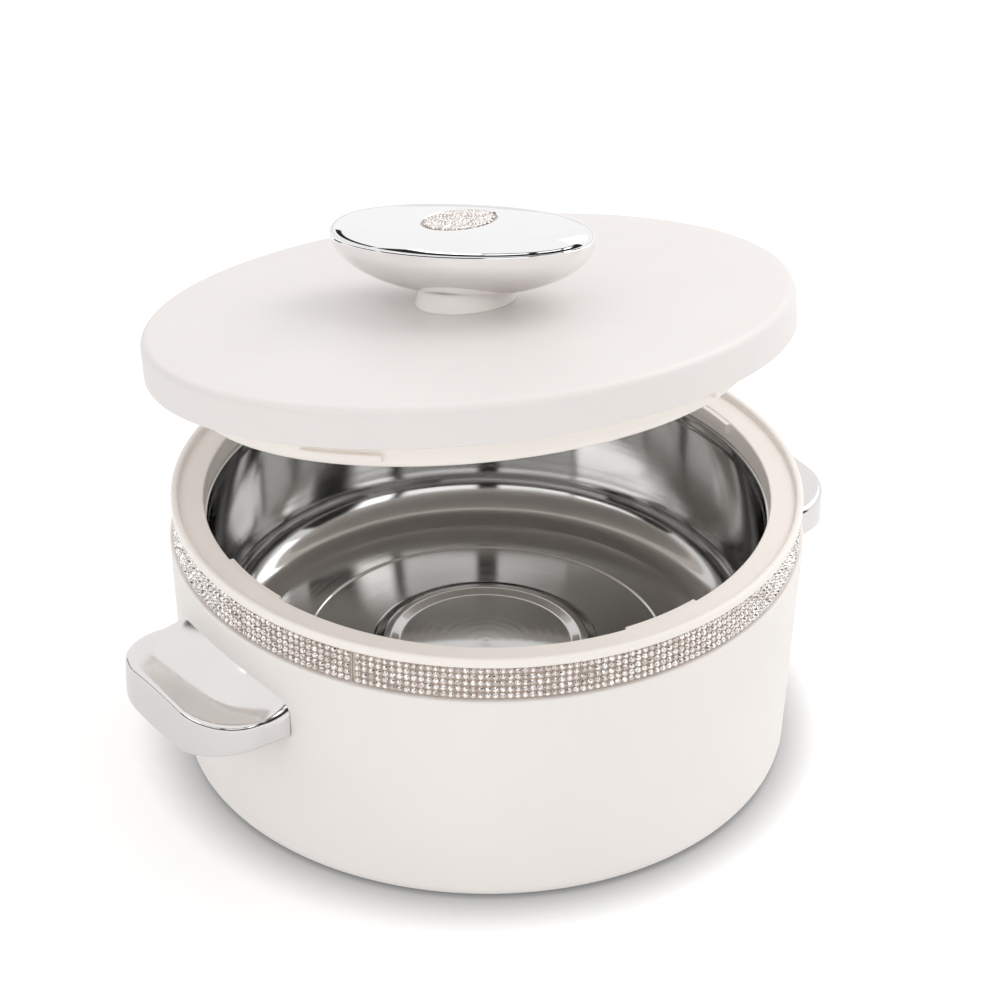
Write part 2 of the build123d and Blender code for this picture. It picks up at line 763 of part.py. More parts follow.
# Knob top: rounded edge and a shallow crown with a round recess
knob_top_level = knob_level + knob_crown_rise
with BuildPart() as knob_top:
    for step in knob_edge_steps:
        shrink = knob_edge_width * (1 - cos(radians(step)))
        with BuildSketch(knob_plane.offset(knob_level + knob_edge_height * sin(radians(step)))):
            Ellipse(knob_half_length - shrink, knob_half_width - shrink)
    with BuildSketch(knob_plane.offset(knob_top_level)):
        Ellipse(knob_half_length - knob_crown_shrink, knob_half_width - knob_crown_shrink)
    loft()
    with BuildSketch(knob_plane.offset(knob_level)):
        Ellipse(
            knob_half_length - knob_wall - knob_edge_height,
            knob_half_width - knob_wall - knob_edge_height,
        )
    extrude(amount=knob_top_hollow, mode=Mode.SUBTRACT)
    with BuildSketch(knob_plane.offset(knob_top_level - inset_recess)):
        Circle(inset_radius)
    extrude(amount=inset_recess, mode=Mode.SUBTRACT)
knob_top.part.label = "knob_top"
export_step(knob_top.part, "parts/knob_top.step")

# Backing disc in the knob's top
inset_floor = knob_top_level - inset_recess
with BuildPart() as knob_inset:
    with BuildSketch(knob_plane.offset(inset_floor)):
        Circle(inset_radius - inset_clearance)
    extrude(amount=inset_thickness)
knob_inset.part.label = "knob_inset"
export_step(knob_inset.part, "parts/knob_inset.step")

# Stones on that disc, drawn as one plain layer
with BuildPart() as knob_stones:
    with BuildSketch(knob_plane.offset(inset_floor + inset_thickness)):
        Circle(inset_radius - inset_clearance - inset_stone_margin)
    extrude(amount=inset_stone_height)
knob_stones.part.label = "knob_stones"
export_step(knob_stones.part, "parts/knob_stones.step")

# Washer under the cover
with BuildPart() as knob_washer:
    with BuildSketch(knob_plane.offset(lid_boss_bottom)):
        Circle(washer_radius)
        Circle(knob_hole_radius, mode=Mode.SUBTRACT)
    extrude(amount=-washer_thickness)
knob_washer.part.label = "knob_washer"
export_step(knob_washer.part, "parts/knob_washer.step")

# Screw through the cover and the stem into the hull's boss
with BuildPart() as knob_screw:
    with BuildSketch(knob_plane.offset(lid_boss_bottom - washer_thickness)):
        Circle(knob_screw_head_radius)
    extrude(amount=-knob_screw_head_thickness)
    with BuildSketch(knob_plane.offset(lid_boss_bottom - washer_thickness)):
        Circle(knob_screw_radius)
    extrude(amount=knob_screw_length)
knob_screw.part.label = "knob_screw"
export_step(knob_screw.part, "parts/knob_screw.step")
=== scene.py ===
"""The insulated casserole dressed for its render. Metres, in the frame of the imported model."""

import json
import random
from math import cos, pi, radians, sin, sqrt, tan, tau

import bmesh
import bpy
from mathutils import Matrix, Vector


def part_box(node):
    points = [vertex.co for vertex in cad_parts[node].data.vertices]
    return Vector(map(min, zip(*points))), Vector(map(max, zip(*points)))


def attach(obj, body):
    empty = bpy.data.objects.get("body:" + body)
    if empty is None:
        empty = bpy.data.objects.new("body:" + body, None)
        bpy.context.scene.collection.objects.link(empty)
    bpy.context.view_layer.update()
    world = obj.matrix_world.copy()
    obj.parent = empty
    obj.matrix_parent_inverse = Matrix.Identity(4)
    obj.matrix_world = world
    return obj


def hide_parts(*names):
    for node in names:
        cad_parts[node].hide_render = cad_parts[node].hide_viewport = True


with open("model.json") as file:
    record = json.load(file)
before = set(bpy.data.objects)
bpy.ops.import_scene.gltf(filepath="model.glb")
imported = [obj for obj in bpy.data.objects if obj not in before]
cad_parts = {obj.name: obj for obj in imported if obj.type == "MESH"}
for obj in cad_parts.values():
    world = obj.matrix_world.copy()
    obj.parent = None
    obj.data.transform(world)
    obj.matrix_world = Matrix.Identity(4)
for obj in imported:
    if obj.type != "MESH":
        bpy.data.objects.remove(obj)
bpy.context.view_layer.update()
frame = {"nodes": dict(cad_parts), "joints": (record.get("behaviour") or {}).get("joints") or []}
nodes = frame["nodes"]
joints = {joint["name"]: joint for joint in frame["joints"]}

MM = 0.001
CHANCE = random.Random(7)
SEGMENTS = 384
STEM_SEGMENTS = 160
LOCK_SEGMENTS = 24
ROUNDING_STEPS = 8
FINE_STEPS = 12
BOWL_STEPS = 10
LOCK_STEPS = 4
SMOOTH_ANGLE = 32.0
HANDLE_SMOOTH_ANGLE = 50.0
KNOB_SMOOTH_ANGLE = 25.0
WELD_DISTANCE = 0.00001 * MM

# Camera
VIEW_AZIMUTH = -36.0
VIEW_ELEVATION = 31.74
VIEW_DISTANCE = 1.5
VIEW_ROLL = 0.68
VIEW_LENS = 136.5
VIEW_SENSOR = 36.0
VIEW_SHIFT_RIGHT = 5.14 * MM
VIEW_SHIFT_UP = -6.6 * MM
VIEW_NEAR = 0.05
VIEW_FAR = 30.0

# Pot: sizes that the boxes of its nodes don't give
SHELL_TAPER = 4.4 * MM
SHELL_WALL = 2.6 * MM
FOOT_ROUNDING = 6.6 * MM
SHOULDER_ROUNDING = 1.0 * MM
REST_RING_WIDTH = 13.5 * MM
LIP_HEIGHT = 3.6 * MM
LIP_WIDTH = 3.0 * MM
LIP_ROUNDING = 1.2 * MM
LEDGE_WIDTH = 10.0 * MM
LEDGE_DROP = 2.5 * MM
LEDGE_WALL = 2.4 * MM
BORE_DROP = 11.6 * MM
BORE_ROUNDING = 0.8 * MM
BAND_RECESS = 2.4 * MM
SKIRT_WALL = 2.4 * MM
COLLAR_GAP = 0.2 * MM
FINE_EDGE = 0.4 * MM
LOCK_SINK = 0.4 * MM
TAB_COUNT = 4
TAB_AZIMUTH = 1.0
TAB_SPAN = 17.0
TAB_REACH = 1.8 * MM
TAB_TOP_DROP = 3.0 * MM
TAB_HEIGHT = 4.3 * MM

# Steel bowl
BOWL_DEPTH = 76.5 * MM
DOME_RADIUS = 90.0 * MM
DOME_SLOPE = 0.14
BOWL_SHEET = 0.8 * MM
BOWL_DISC = 35.0 * MM
BOWL_DISC_RISE = 0.9 * MM
BEAD_INNER = 38.6 * MM
BEAD_OUTER = 41.4 * MM
BEAD_FOOT = 46.0 * MM
BEAD_RISE = 2.3 * MM
BEAD_ROUNDING = 3.0 * MM
BEAD_BLEND = 4.0 * MM
STEP_RADIUS = 72.0 * MM
STEP_WIDTH = 0.9 * MM
STEP_RISE = 0.6 * MM
STEP_ROUNDING = 1.5 * MM
BOWL_CORNER = 17.0 * MM
BOWL_DRAFT = 0.6 * MM
BOWL_SETBACK = 1.2 * MM
RIM_BAND_STEP = 0.6 * MM
RIM_BAND_LOW = 5.0 * MM
RIM_BAND_HIGH = 3.6 * MM
RIM_BAND_ROUNDING = 2.0 * MM
RIM_ROUNDING = 1.2 * MM

# Handles: their shape, then how finely they are made
HANDLE_CORNER = 23.0 * MM
HANDLE_RIM_DROP = 40.2 * MM
HANDLE_ARCH = 3.8 * MM
HANDLE_THICKNESS = 12.4 * MM
HANDLE_BELLY = 4.8 * MM
HANDLE_SEAM = 0.2 * MM
HANDLE_FOCUS_SINK = 0.8 * MM
HANDLE_FOCUS_SHARE = 0.3
HANDLE_BOTTOM_ROUND = 1.3 * MM
HANDLE_RIM_ROUND = 2.6 * MM
HANDLE_END_ROUND = 4.8 * MM
HANDLE_END_RUN = 14.0 * MM
HANDLE_WALL_DROP = 31.5 * MM
HANDLE_WALL_END_DROP = 37.7 * MM
HANDLE_VALLEY = 0.9 * MM
HANDLE_PLATE_INSET = 4.2 * MM
HANDLE_PLATE_RECESS = 2.0 * MM
HANDLE_RAMP_END = 0.6
HANDLE_RAMP_POWER = 2
HANDLE_RISE_START = 0.4
HANDLE_RISE_POWER = 1.8
HANDLE_STATIONS = 300
HANDLE_END_SHARE = 0.0004
HANDLE_FOOT_STEPS = 6
HANDLE_FACE_STEPS = 6
HANDLE_ROLL_STEPS = 10
HANDLE_TOP_STEPS = 44
HANDLE_RAY_LIMIT = 0.9
HANDLE_HALVINGS = 26

# Stones: shares of a stone's radius and height, tones from 0 to 1, tilts in degrees
GEM_SIDES = 8
GEM_TABLE = 0.54
GEM_STAR = 0.81
GEM_STAR_HEIGHT = 0.58
GEM_TONE = 0.7
GEM_TONE_SPREAD = 0.22
FACET_TONE_SPREAD = 0.36
CUP_SIDES = 12
CUP_LOW = -0.4
CUP_HIGH = 0.2
CUP_LIP = 0.07
CUP_LIP_TOP = 0.4
CUP_TONE = 0.5
GEM_TILT = 5.0
KNOB_GEM_TILT = 15.0

# Band: the strip's own seam is two parts wide where the gap between the stones is five
BAND_ROWS = 5
BAND_PITCH = 2.75 * MM
BAND_SEAM_AZIMUTH = 210.7
BAND_SEAM_GAP = 1.6 * MM
BAND_SEAM_PARTS = 5
BAND_TOP_MARGIN = 0.25 * MM
BAND_GEM_RADIUS = 0.465
BAND_GEM_HEIGHT = 0.7
BAND_GEM_SINK = 0.25

# Lid
LID_SIDE = 15.5 * MM
LID_CROWN = 16.65 * MM
LID_EDGE = 3.6 * MM
LID_CROWN_END = 3 * LID_EDGE
LID_CROWN_STEPS = 20
COVER_STRIDE = 7
LID_WALL = 2.4 * MM
LID_PAD_RADIUS = 21.0 * MM
LID_LOW_EDGE = 0.6 * MM
LINER_FLANGE = 2.2 * MM
LINER_GAP = 0.1 * MM
PLUG_GAP = 2.8 * MM
PLUG_DEPTH = 13.5 * MM
PLUG_WALL = 2.4 * MM
PLUG_EDGE = 2.5 * MM
LUG_COUNT = 4
LUG_AZIMUTH = 29.8
LUG_REACH = 2.0 * MM
LUG_SPAN = 17.5
LUG_TOP = -7.9 * MM
LUG_HEIGHT = 2.7 * MM

# Knob
KNOB_AZIMUTH = -64.0
KNOB_HALF_LENGTH = 57.0 * MM
KNOB_HALF_WIDTH = 29.5 * MM
KNOB_LEVEL = 42.7 * MM
KNOB_HULL_DEPTH = 22.5 * MM
KNOB_HULL_END = 70.0
KNOB_EDGE_WIDTH = 10.0 * MM
KNOB_EDGE_HEIGHT = 5.8 * MM
KNOB_EDGE_END = 78.0
KNOB_CROWN_RISE = 6.2 * MM
KNOB_GROOVE = 0.3 * MM
KNOB_STEM_RADIUS = 20.0 * MM
KNOB_STEM_TOP_RADIUS = 17.6 * MM
KNOB_STEM_TOP = 24.0 * MM
KNOB_STEM_ROUNDING = 1.4 * MM
KNOB_SIDES = 240
KNOB_HULL_STEPS = 36
KNOB_EDGE_STEPS = 24
KNOB_TOP_STEPS = 14
INSET_RADIUS = 14.8 * MM
INSET_RECESS = 1.2 * MM
INSET_EDGE = 0.35 * MM
KNOB_GEMS = 330
KNOB_GEM_FIELD = 14.2 * MM
KNOB_GEM_RADIUS = 0.46
KNOB_GEM_HEIGHT = 0.6 * MM
KNOB_GEM_FLOOR = 0.5 * MM
KNOB_GEM_LIFT = 0.3 * MM

# Grain of the materials: scales in waves per metre, depths in metres, the rest shares
PLASTIC_CLOUD = 18.0
PLASTIC_UNEVEN = 70.0
PLASTIC_LESS_ROUGH = 0.04
PLASTIC_MORE_ROUGH = 0.05
PLASTIC_DARKEST = 0.98
PLASTIC_LIGHTEST = 1.01
PLASTIC_WAVES = 22.0
PLASTIC_WAVE_DEPTH = 0.00018
PLASTIC_SKIN = 1500.0
PLASTIC_SKIN_DEPTH = 0.000006
METAL_CLOUD = 30.0
METAL_DARKEST = 0.97
METAL_HAZE = 55.0
METAL_CLEAREST = 0.7
METAL_HAZIEST = 1.5
METAL_WAVES = 26.0
METAL_WAVE_DEPTH = 0.00005
CHROME_WAVE_DEPTH = 0.00003
METAL_GRAIN = 2500.0
METAL_GRAIN_STRETCH = (1, 1, 0.15)
METAL_GRAIN_DEPTH = 0.0000006
STEEL_DRAWN_OUT = 0.9
STEEL_DRAWN_TURN = 0.25
STEEL_CLOUD = 24.0
STEEL_DARKEST = 0.96
STEEL_HAZE = 45.0
STEEL_CLEAREST = 0.85
STEEL_HAZIEST = 1.2
STEEL_WAVES = 16.0
STEEL_WAVE_DEPTH = 0.00012
STEEL_GROOVES = 420.0
STEEL_GROOVE_DEPTH = 0.00004
FOAM_PITS = 900.0
FOAM_DARKEST = 0.86
FOAM_PIT_DEPTH = 0.0004
FOAM_ROUGHEST = 0.95
FOAM_SMOOTHEST = 0.8
GLASS_DARK = (0.6, 0.52, 0.48)
GLASS_LIGHT = (1.0, 0.97, 0.95)
GLASS_METALLIC = 0.9
GLASS_WEAR = 700.0
GLASS_SMOOTHEST = 0.03
GLASS_ROUGHEST = 0.12
FLOOR_GRAIN = 9.0
FLOOR_DARK = (0.93, 0.93, 0.93)
FLOOR_LIGHT = (0.94, 0.94, 0.94)
FLOOR_ROUGHNESS = 0.9
BLACK = (0.0, 0.0, 0.0)
WHITE = (1.0, 1.0, 1.0)

# Soft lamps: name, width, power, whether reflections show it, and its way to the right, to the front and up
HEART_HEIGHT = 0.1
LAMPS = (
    ("key", 0.8, 3.3, True, 0.62, -0.42, 0.85),
    ("fill_right", 1.0, 2.6, False, 0.5, 1.3, 1.2),
    ("fill_left", 1.0, 2.4, False, -1.2, 1.2, 0.6),
)

# Studio: tones of the diffuse light, and the upward shares where its side ends and its top begins
AMBIENT_SIDE = 0.98
AMBIENT_TOP = 0.84
AMBIENT_BACK = 1.14
AMBIENT_FRONT = 0.86
AMBIENT_SIDE_END = 0.1
AMBIENT_TOP_START = 0.8
# Soft boxes that only reflections show: share to the right from and to, upward share from and to, strength
LAMPS_SEEN = (
    (-0.80, -0.57, 0.48, 0.62, 2.6),
    (-0.50, -0.10, 0.44, 0.54, 1.6),
    (0.10, 0.50, 0.44, 0.54, 1.6),
    (0.62, 0.72, 0.42, 0.54, 2.6),
)
SOFT_EDGE = 0.03
BOX_SOFTNESS = 0.06
UNLIT = 0.02
UNLIT_BACK = 0.05
UNLIT_LOW = 0.08
UNLIT_HIGH = 0.66
SCREEN_SIDE = 0.55
SCREEN_HIGH = 0.22
FLOOR_HALF = 4.0
FLOOR_LIFT = 0.2
# Painted contact shadow on the floor: how far its ambient occlusion reaches, and the power that deepens it
SHADOW_REACH = 24 * MM
SHADOW_DEPTH = 1.3


# Materials


def new_material(name):
    """An empty node material with its Principled shader."""
    material = bpy.data.materials.new(name)
    material.use_nodes = True
    tree = material.node_tree
    tree.nodes.clear()
    out = tree.nodes.new("ShaderNodeOutputMaterial")
    shader = tree.nodes.new("ShaderNodeBsdfPrincipled")
    tree.links.new(shader.outputs["BSDF"], out.inputs["Surface"])
    return material, tree, shader


def noise(tree, scale, detail=2.0, stretch=(1, 1, 1)):
    """A noise over the object's own coordinates, 0 to 1. Scale is in waves per metre."""
    place = tree.nodes.new("ShaderNodeTexCoord")
    mapping = tree.nodes.new("ShaderNodeMapping")
    mapping.inputs["Scale"].default_value = stretch
    texture = tree.nodes.new("ShaderNodeTexNoise")
    texture.inputs["Scale"].default_value = scale
    texture.inputs["Detail"].default_value = detail
    tree.links.new(place.outputs["Object"], mapping.inputs["Vector"])
    tree.links.new(mapping.outputs["Vector"], texture.inputs["Vector"])
    return texture.outputs["Fac"]


def spread(tree, value, low, high, start=0.3, end=0.7, smooth=False):
    """Maps a value from the range start to end to the range low to high."""
    node = tree.nodes.new("ShaderNodeMapRange")
    if smooth:
        node.interpolation_type = "SMOOTHSTEP"
    node.inputs["From Min"].default_value = start
    node.inputs["From Max"].default_value = end
    node.inputs["To Min"].default_value = low
    node.inputs["To Max"].default_value = high
    tree.links.new(value, node.inputs["Value"])
    return node.outputs["Result"]


def blend_colours(tree, value, first, second):
    """A colour between two, by a value from 0 to 1."""
    node = tree.nodes.new("ShaderNodeMix")
    node.data_type = "RGBA"
    node.inputs["A"].default_value = (*first, 1)
    node.inputs["B"].default_value = (*second, 1)
    tree.links.new(value, node.inputs["Factor"])
    return node.outputs["Result"]


def arithmetic(tree, operation, first, second):
    """The result of a Math node. Each input is a socket or a number."""
    node = tree.nodes.new("ShaderNodeMath")
    node.operation = operation
    for place, value in enumerate((first, second)):
        if isinstance(value, (int, float)):
            node.inputs[place].default_value = value
        else:
            tree.links.new(value, node.inputs[place])
    return node.outputs["Value"]


def bump(tree, shader, height, distance, below=None):
    """A bump on the shader's normal, over another bump if one is given."""
    node = tree.nodes.new("ShaderNodeBump")
    node.inputs["Distance"].default_value = distance
    node.inputs["Strength"].default_value = 1.0
    tree.links.new(height, node.inputs["Height"])
    if below is not None:
        tree.links.new(below, node.inputs["Normal"])
    tree.links.new(node.outputs["Normal"], shader.inputs["Normal"])
    return node.outputs["Normal"]


def cloudy_colour(tree, shader, value, colour, darkest, lightest=1.0):
    """A base colour that wanders with a value between a darker and a lighter tone of one colour."""
    darker = [c * darkest for c in colour]
    lighter = [min(1.0, c * lightest) for c in colour]
    cloud = spread(tree, value, 0.0, 1.0)
    tree.links.new(blend_colours(tree, cloud, darker, lighter), shader.inputs["Base Color"])


def moulded_plastic(name, colour, rough=0.34):
    """Satin moulded plastic: faint cloudy tone, uneven gloss, a fine skin and slow waves."""
    material, tree, shader = new_material(name)
    cloud = noise(tree, PLASTIC_CLOUD, detail=3.0)
    cloudy_colour(tree, shader, cloud, colour, PLASTIC_DARKEST, PLASTIC_LIGHTEST)
    uneven = noise(tree, PLASTIC_UNEVEN, detail=4.0)
    uneven = spread(tree, uneven, rough - PLASTIC_LESS_ROUGH, rough + PLASTIC_MORE_ROUGH)
    tree.links.new(uneven, shader.inputs["Roughness"])
    shader.inputs["Specular IOR Level"].default_value = 0.5
    waves = bump(tree, shader, noise(tree, PLASTIC_WAVES, detail=1.0), PLASTIC_WAVE_DEPTH)
    bump(tree, shader, noise(tree, PLASTIC_SKIN), PLASTIC_SKIN_DEPTH, below=waves)
    return material


def bright_metal(name, colour, rough, wave_depth=METAL_WAVE_DEPTH):
    """Polished metal or chrome: nearly a mirror, with slow waves and hazy patches."""
    material, tree, shader = new_material(name)
    shader.inputs["Metallic"].default_value = 1.0
    cloudy_colour(tree, shader, noise(tree, METAL_CLOUD, detail=4.0), colour, METAL_DARKEST)
    haze = noise(tree, METAL_HAZE, detail=5.0)
    haze = spread(tree, haze, rough * METAL_CLEAREST, rough * METAL_HAZIEST)
    tree.links.new(haze, shader.inputs["Roughness"])
    waves = bump(tree, shader, noise(tree, METAL_WAVES, detail=1.0), wave_depth)
    grain = noise(tree, METAL_GRAIN, stretch=METAL_GRAIN_STRETCH)
    bump(tree, shader, grain, METAL_GRAIN_DEPTH, below=waves)
    return material


def spun_steel(name, colour, rough):
    """Polished steel turned on a lathe: fine rings draw each reflection out across them."""
    material, tree, shader = new_material(name)
    shader.inputs["Metallic"].default_value = 1.0
    shader.inputs["Anisotropic"].default_value = STEEL_DRAWN_OUT
    shader.inputs["Anisotropic Rotation"].default_value = STEEL_DRAWN_TURN
    tangent = tree.nodes.new("ShaderNodeTangent")
    tangent.direction_type = "RADIAL"
    tangent.axis = "Z"
    tree.links.new(tangent.outputs["Tangent"], shader.inputs["Tangent"])
    cloudy_colour(tree, shader, noise(tree, STEEL_CLOUD, detail=4.0), colour, STEEL_DARKEST)
    haze = noise(tree, STEEL_HAZE, detail=5.0)
    haze = spread(tree, haze, rough * STEEL_CLEAREST, rough * STEEL_HAZIEST)
    tree.links.new(haze, shader.inputs["Roughness"])
    waves = bump(tree, shader, noise(tree, STEEL_WAVES, detail=1.0), STEEL_WAVE_DEPTH)
    # Fine grooves of the spinning: a noise over distance from the axis and height alone
    middle = tree.nodes.new("ShaderNodeTexCoord")
    flat = tree.nodes.new("ShaderNodeVectorMath")
    flat.operation = "MULTIPLY"
    flat.inputs[1].default_value = (1, 1, 0)
    tree.links.new(middle.outputs["Object"], flat.inputs[0])
    length = tree.nodes.new("ShaderNodeVectorMath")
    length.operation = "LENGTH"
    tree.links.new(flat.outputs["Vector"], length.inputs[0])
    apart = tree.nodes.new("ShaderNodeSeparateXYZ")
    tree.links.new(middle.outputs["Object"], apart.inputs[0])
    across = tree.nodes.new("ShaderNodeCombineXYZ")
    tree.links.new(length.outputs["Value"], across.inputs["X"])
    tree.links.new(apart.outputs["Z"], across.inputs["Z"])
    grooves = tree.nodes.new("ShaderNodeTexNoise")
    grooves.inputs["Scale"].default_value = STEEL_GROOVES
    grooves.inputs["Detail"].default_value = 4.0
    tree.links.new(across.outputs["Vector"], grooves.inputs["Vector"])
    waves = bump(tree, shader, grooves.outputs["Fac"], STEEL_GROOVE_DEPTH, below=waves)
    # Normals as on a slightly domed floor, by a height that falls with the square of the distance
    square = arithmetic(tree, "POWER", length.outputs["Value"], 2.0)
    fall = spread(tree, square, 0.0, -DOME_SLOPE * DOME_RADIUS / 2, 0.0, DOME_RADIUS**2)
    bump(tree, shader, fall, 1.0, below=waves)
    return material


def foam_skin(name, colour):
    """Cut insulating foam: pitted and matt."""
    material, tree, shader = new_material(name)
    pits = noise(tree, FOAM_PITS, detail=4.0)
    cloudy_colour(tree, shader, pits, colour, FOAM_DARKEST)
    rough = spread(tree, pits, FOAM_ROUGHEST, FOAM_SMOOTHEST)
    tree.links.new(rough, shader.inputs["Roughness"])
    bump(tree, shader, pits, FOAM_PIT_DEPTH)
    return material


def foiled_glass(name):
    """Cut stones with a foil behind them: each facet has its own tone."""
    material, tree, shader = new_material(name)
    tone = tree.nodes.new("ShaderNodeAttribute")
    tone.attribute_name = "tone"
    colour = blend_colours(tree, tone.outputs["Fac"], GLASS_DARK, GLASS_LIGHT)
    tree.links.new(colour, shader.inputs["Base Color"])
    shader.inputs["Metallic"].default_value = GLASS_METALLIC
    wear = spread(tree, noise(tree, GLASS_WEAR), GLASS_SMOOTHEST, GLASS_ROUGHEST)
    tree.links.new(wear, shader.inputs["Roughness"])
    return material


cream = moulded_plastic("cream_plastic", (0.86, 0.82, 0.785))
# Lid cream: the body's cream painted darker, as painted shade that offsets the stronger light falling on the
# lid's top
lid_cream_painted_darker = moulded_plastic("cream_lid_painted_darker", (0.80, 0.76, 0.735), rough=0.38)
# Cream of the collar and the lid's liner: the body's cream painted lighter, as painted light that lifts the
# lid's shade off the ledge, bore and plug
inside_cream_painted_lighter = moulded_plastic("cream_inside_painted_lighter", (0.925, 0.87, 0.82), rough=0.36)
base_grey = moulded_plastic("base_plastic", (0.78, 0.75, 0.69), rough=0.5)
steel = spun_steel("mirror_steel", (0.60, 0.595, 0.585), rough=0.1)
chrome = bright_metal("silver_chrome", (0.93, 0.92, 0.92), rough=0.05, wave_depth=CHROME_WAVE_DEPTH)
satin_chrome = bright_metal("silver_satin", (0.79, 0.768, 0.758), rough=0.13, wave_depth=CHROME_WAVE_DEPTH)
screw_steel = bright_metal("screw_steel", (0.62, 0.62, 0.63), rough=0.28)
cup_silver = bright_metal("cup_silver", (0.72, 0.64, 0.58), rough=0.3)
strip_tan = moulded_plastic("strip_tan", (0.60, 0.50, 0.43), rough=0.6)
foam = foam_skin("foam", (0.86, 0.78, 0.52))
stone_glass = foiled_glass("stone_glass")

FINISH = {
    "outer_shell": cream,
    "rim_collar": inside_cream_painted_lighter,
    "lid_cover": lid_cream_painted_darker,
    "lid_liner": inside_cream_painted_lighter,
    "knob_stem": cream,
    "inner_bowl": steel,
    "pot_foam": foam,
    "lid_foam": foam,
    "base_cover": base_grey,
    "fill_plug": base_grey,
    "band_strip": strip_tan,
    "knob_inset": strip_tan,
    "band_stones": stone_glass,
    "knob_stones": stone_glass,
    "handle_left": satin_chrome,
    "handle_right": satin_chrome,
    "knob_body": chrome,
    "knob_top": chrome,
    "handle_left_plate": base_grey,
    "handle_right_plate": base_grey,
    "handle_screws": screw_steel,
    "knob_screw": screw_steel,
    "knob_washer": screw_steel,
}
for name, material in FINISH.items():
    mesh = nodes[name].data
    mesh.materials.clear()
    mesh.materials.append(material)


# Mesh helpers


def rounded(corners, closed=True, steps=ROUNDING_STEPS):
    """Points of a profile whose corners, given as (radius from the axis, height, rounding), are rounded."""
    points = []
    count = len(corners)
    for i, (across, height, rounding) in enumerate(corners):
        here = Vector((across, height))
        if rounding == 0 or (not closed and i in (0, count - 1)):
            points.append(here)
            continue
        back = (Vector(corners[i - 1][:2]) - here).normalized()
        ahead = (Vector(corners[(i + 1) % count][:2]) - here).normalized()
        half = back.angle(ahead) / 2
        centre = here + (back + ahead).normalized() * rounding / sin(half)
        start = here + back * rounding / tan(half) - centre
        end = here + ahead * rounding / tan(half) - centre
        sweep = pi - 2 * half
        for step in range(steps + 1):
            share = step / steps
            turned = start * sin((1 - share) * sweep) + end * sin(share * sweep)
            points.append(centre + turned / sin(sweep))
    return points


def lathe(profile, closed=True, start=0.0, span=tau, segments=SEGMENTS, place=None):
    """Corners and faces of a profile turned about the upright axis of a place."""
    place = place or Matrix.Identity(4)
    whole = span >= tau
    rings = segments if whole else segments + 1
    count = len(profile)
    corners = []
    for ring in range(rings):
        turn = start + span * ring / segments
        corners += [place @ Vector((p.x * cos(turn), p.x * sin(turn), p.y)) for p in profile]
    faces = []
    for ring in range(segments):
        here = ring * count
        there = (ring + 1) % rings * count
        for i in range(count if closed else count - 1):
            after = (i + 1) % count
            faces.append((here + i, there + i, there + after, here + after))
    if not whole:
        faces.append(tuple(range(count)))
        faces.append(tuple(segments * count + i for i in reversed(range(count))))
    return corners, faces


def add_piece(name, forms, material, body, replaced, smooth_angle=SMOOTH_ANGLE):
    """Makes one object of several forms, each given as corners and faces, in place of a CAD node."""
    bm = bmesh.new()
    for corners, faces in forms:
        verts = [bm.verts.new(corner) for corner in corners]
        for face in faces:
            bm.faces.new([verts[i] for i in face])
    bmesh.ops.remove_doubles(bm, verts=bm.verts, dist=WELD_DISTANCE)
    bmesh.ops.recalc_face_normals(bm, faces=bm.faces)
    mesh = bpy.data.meshes.new(name)
    bm.to_mesh(mesh)
    bm.free()
    mesh.materials.append(material)
    mesh.shade_smooth()
    mesh.set_sharp_from_angle(angle=radians(smooth_angle))
    piece = bpy.data.objects.new(name, mesh)
    bpy.context.scene.collection.objects.link(piece)
    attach(piece, body)
    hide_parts(replaced)


def ring_points(radius, height, sides, shift=0.0):
    """Corners evenly round a level circle; the shift is in sides."""
    turns = [tau * (i + shift) / sides for i in range(sides)]
    return [(radius * cos(turn), radius * sin(turn), height) for turn in turns]


def ring_faces(rings, sides):
    """Faces between rings of corners that follow one another."""
    faces = []
    for ring in range(rings - 1):
        here, there = ring * sides, (ring + 1) * sides
        for i in range(sides):
            after = (i + 1) % sides
            faces.append((here + i, here + after, there + after, there + i))
    return faces


# Pot

collar_low, collar_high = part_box("rim_collar")
shell_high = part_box("outer_shell")[1]
pot_height = collar_high.z
lip_radius = collar_high.x
shoulder_radius = shell_high.x
shoulder_height = shell_high.z
foot_radius = shoulder_radius - SHELL_TAPER
rest_radius = foot_radius - REST_RING_WIDTH
lip_bottom = pot_height - LIP_HEIGHT
lip_inner = lip_radius - LIP_WIDTH
bore_radius = lip_inner - LEDGE_WIDTH
ledge_top = pot_height - LEDGE_DROP
bore_bottom = pot_height - BORE_DROP
skirt_radius = lip_radius - BAND_RECESS
skirt_inner = skirt_radius - SKIRT_WALL
skirt_bottom = collar_low.z


def shell_radius(height):
    """Outer radius of the tapered shell at a height."""
    return foot_radius + SHELL_TAPER * height / shoulder_height


shell_profile = rounded(
    [
        (rest_radius, 0, 0),
        (foot_radius, 0, FOOT_ROUNDING),
        (shoulder_radius, shoulder_height, SHOULDER_ROUNDING),
        (skirt_radius + COLLAR_GAP, shoulder_height, 0),
        (skirt_radius + COLLAR_GAP, skirt_bottom, 0),
        (shell_radius(SHELL_WALL) - SHELL_WALL, SHELL_WALL, FOOT_ROUNDING - SHELL_WALL),
        (rest_radius, SHELL_WALL, 0),
    ],
    steps=FINE_STEPS,
)
add_piece("shell", [lathe(shell_profile)], cream, "pot", "outer_shell")

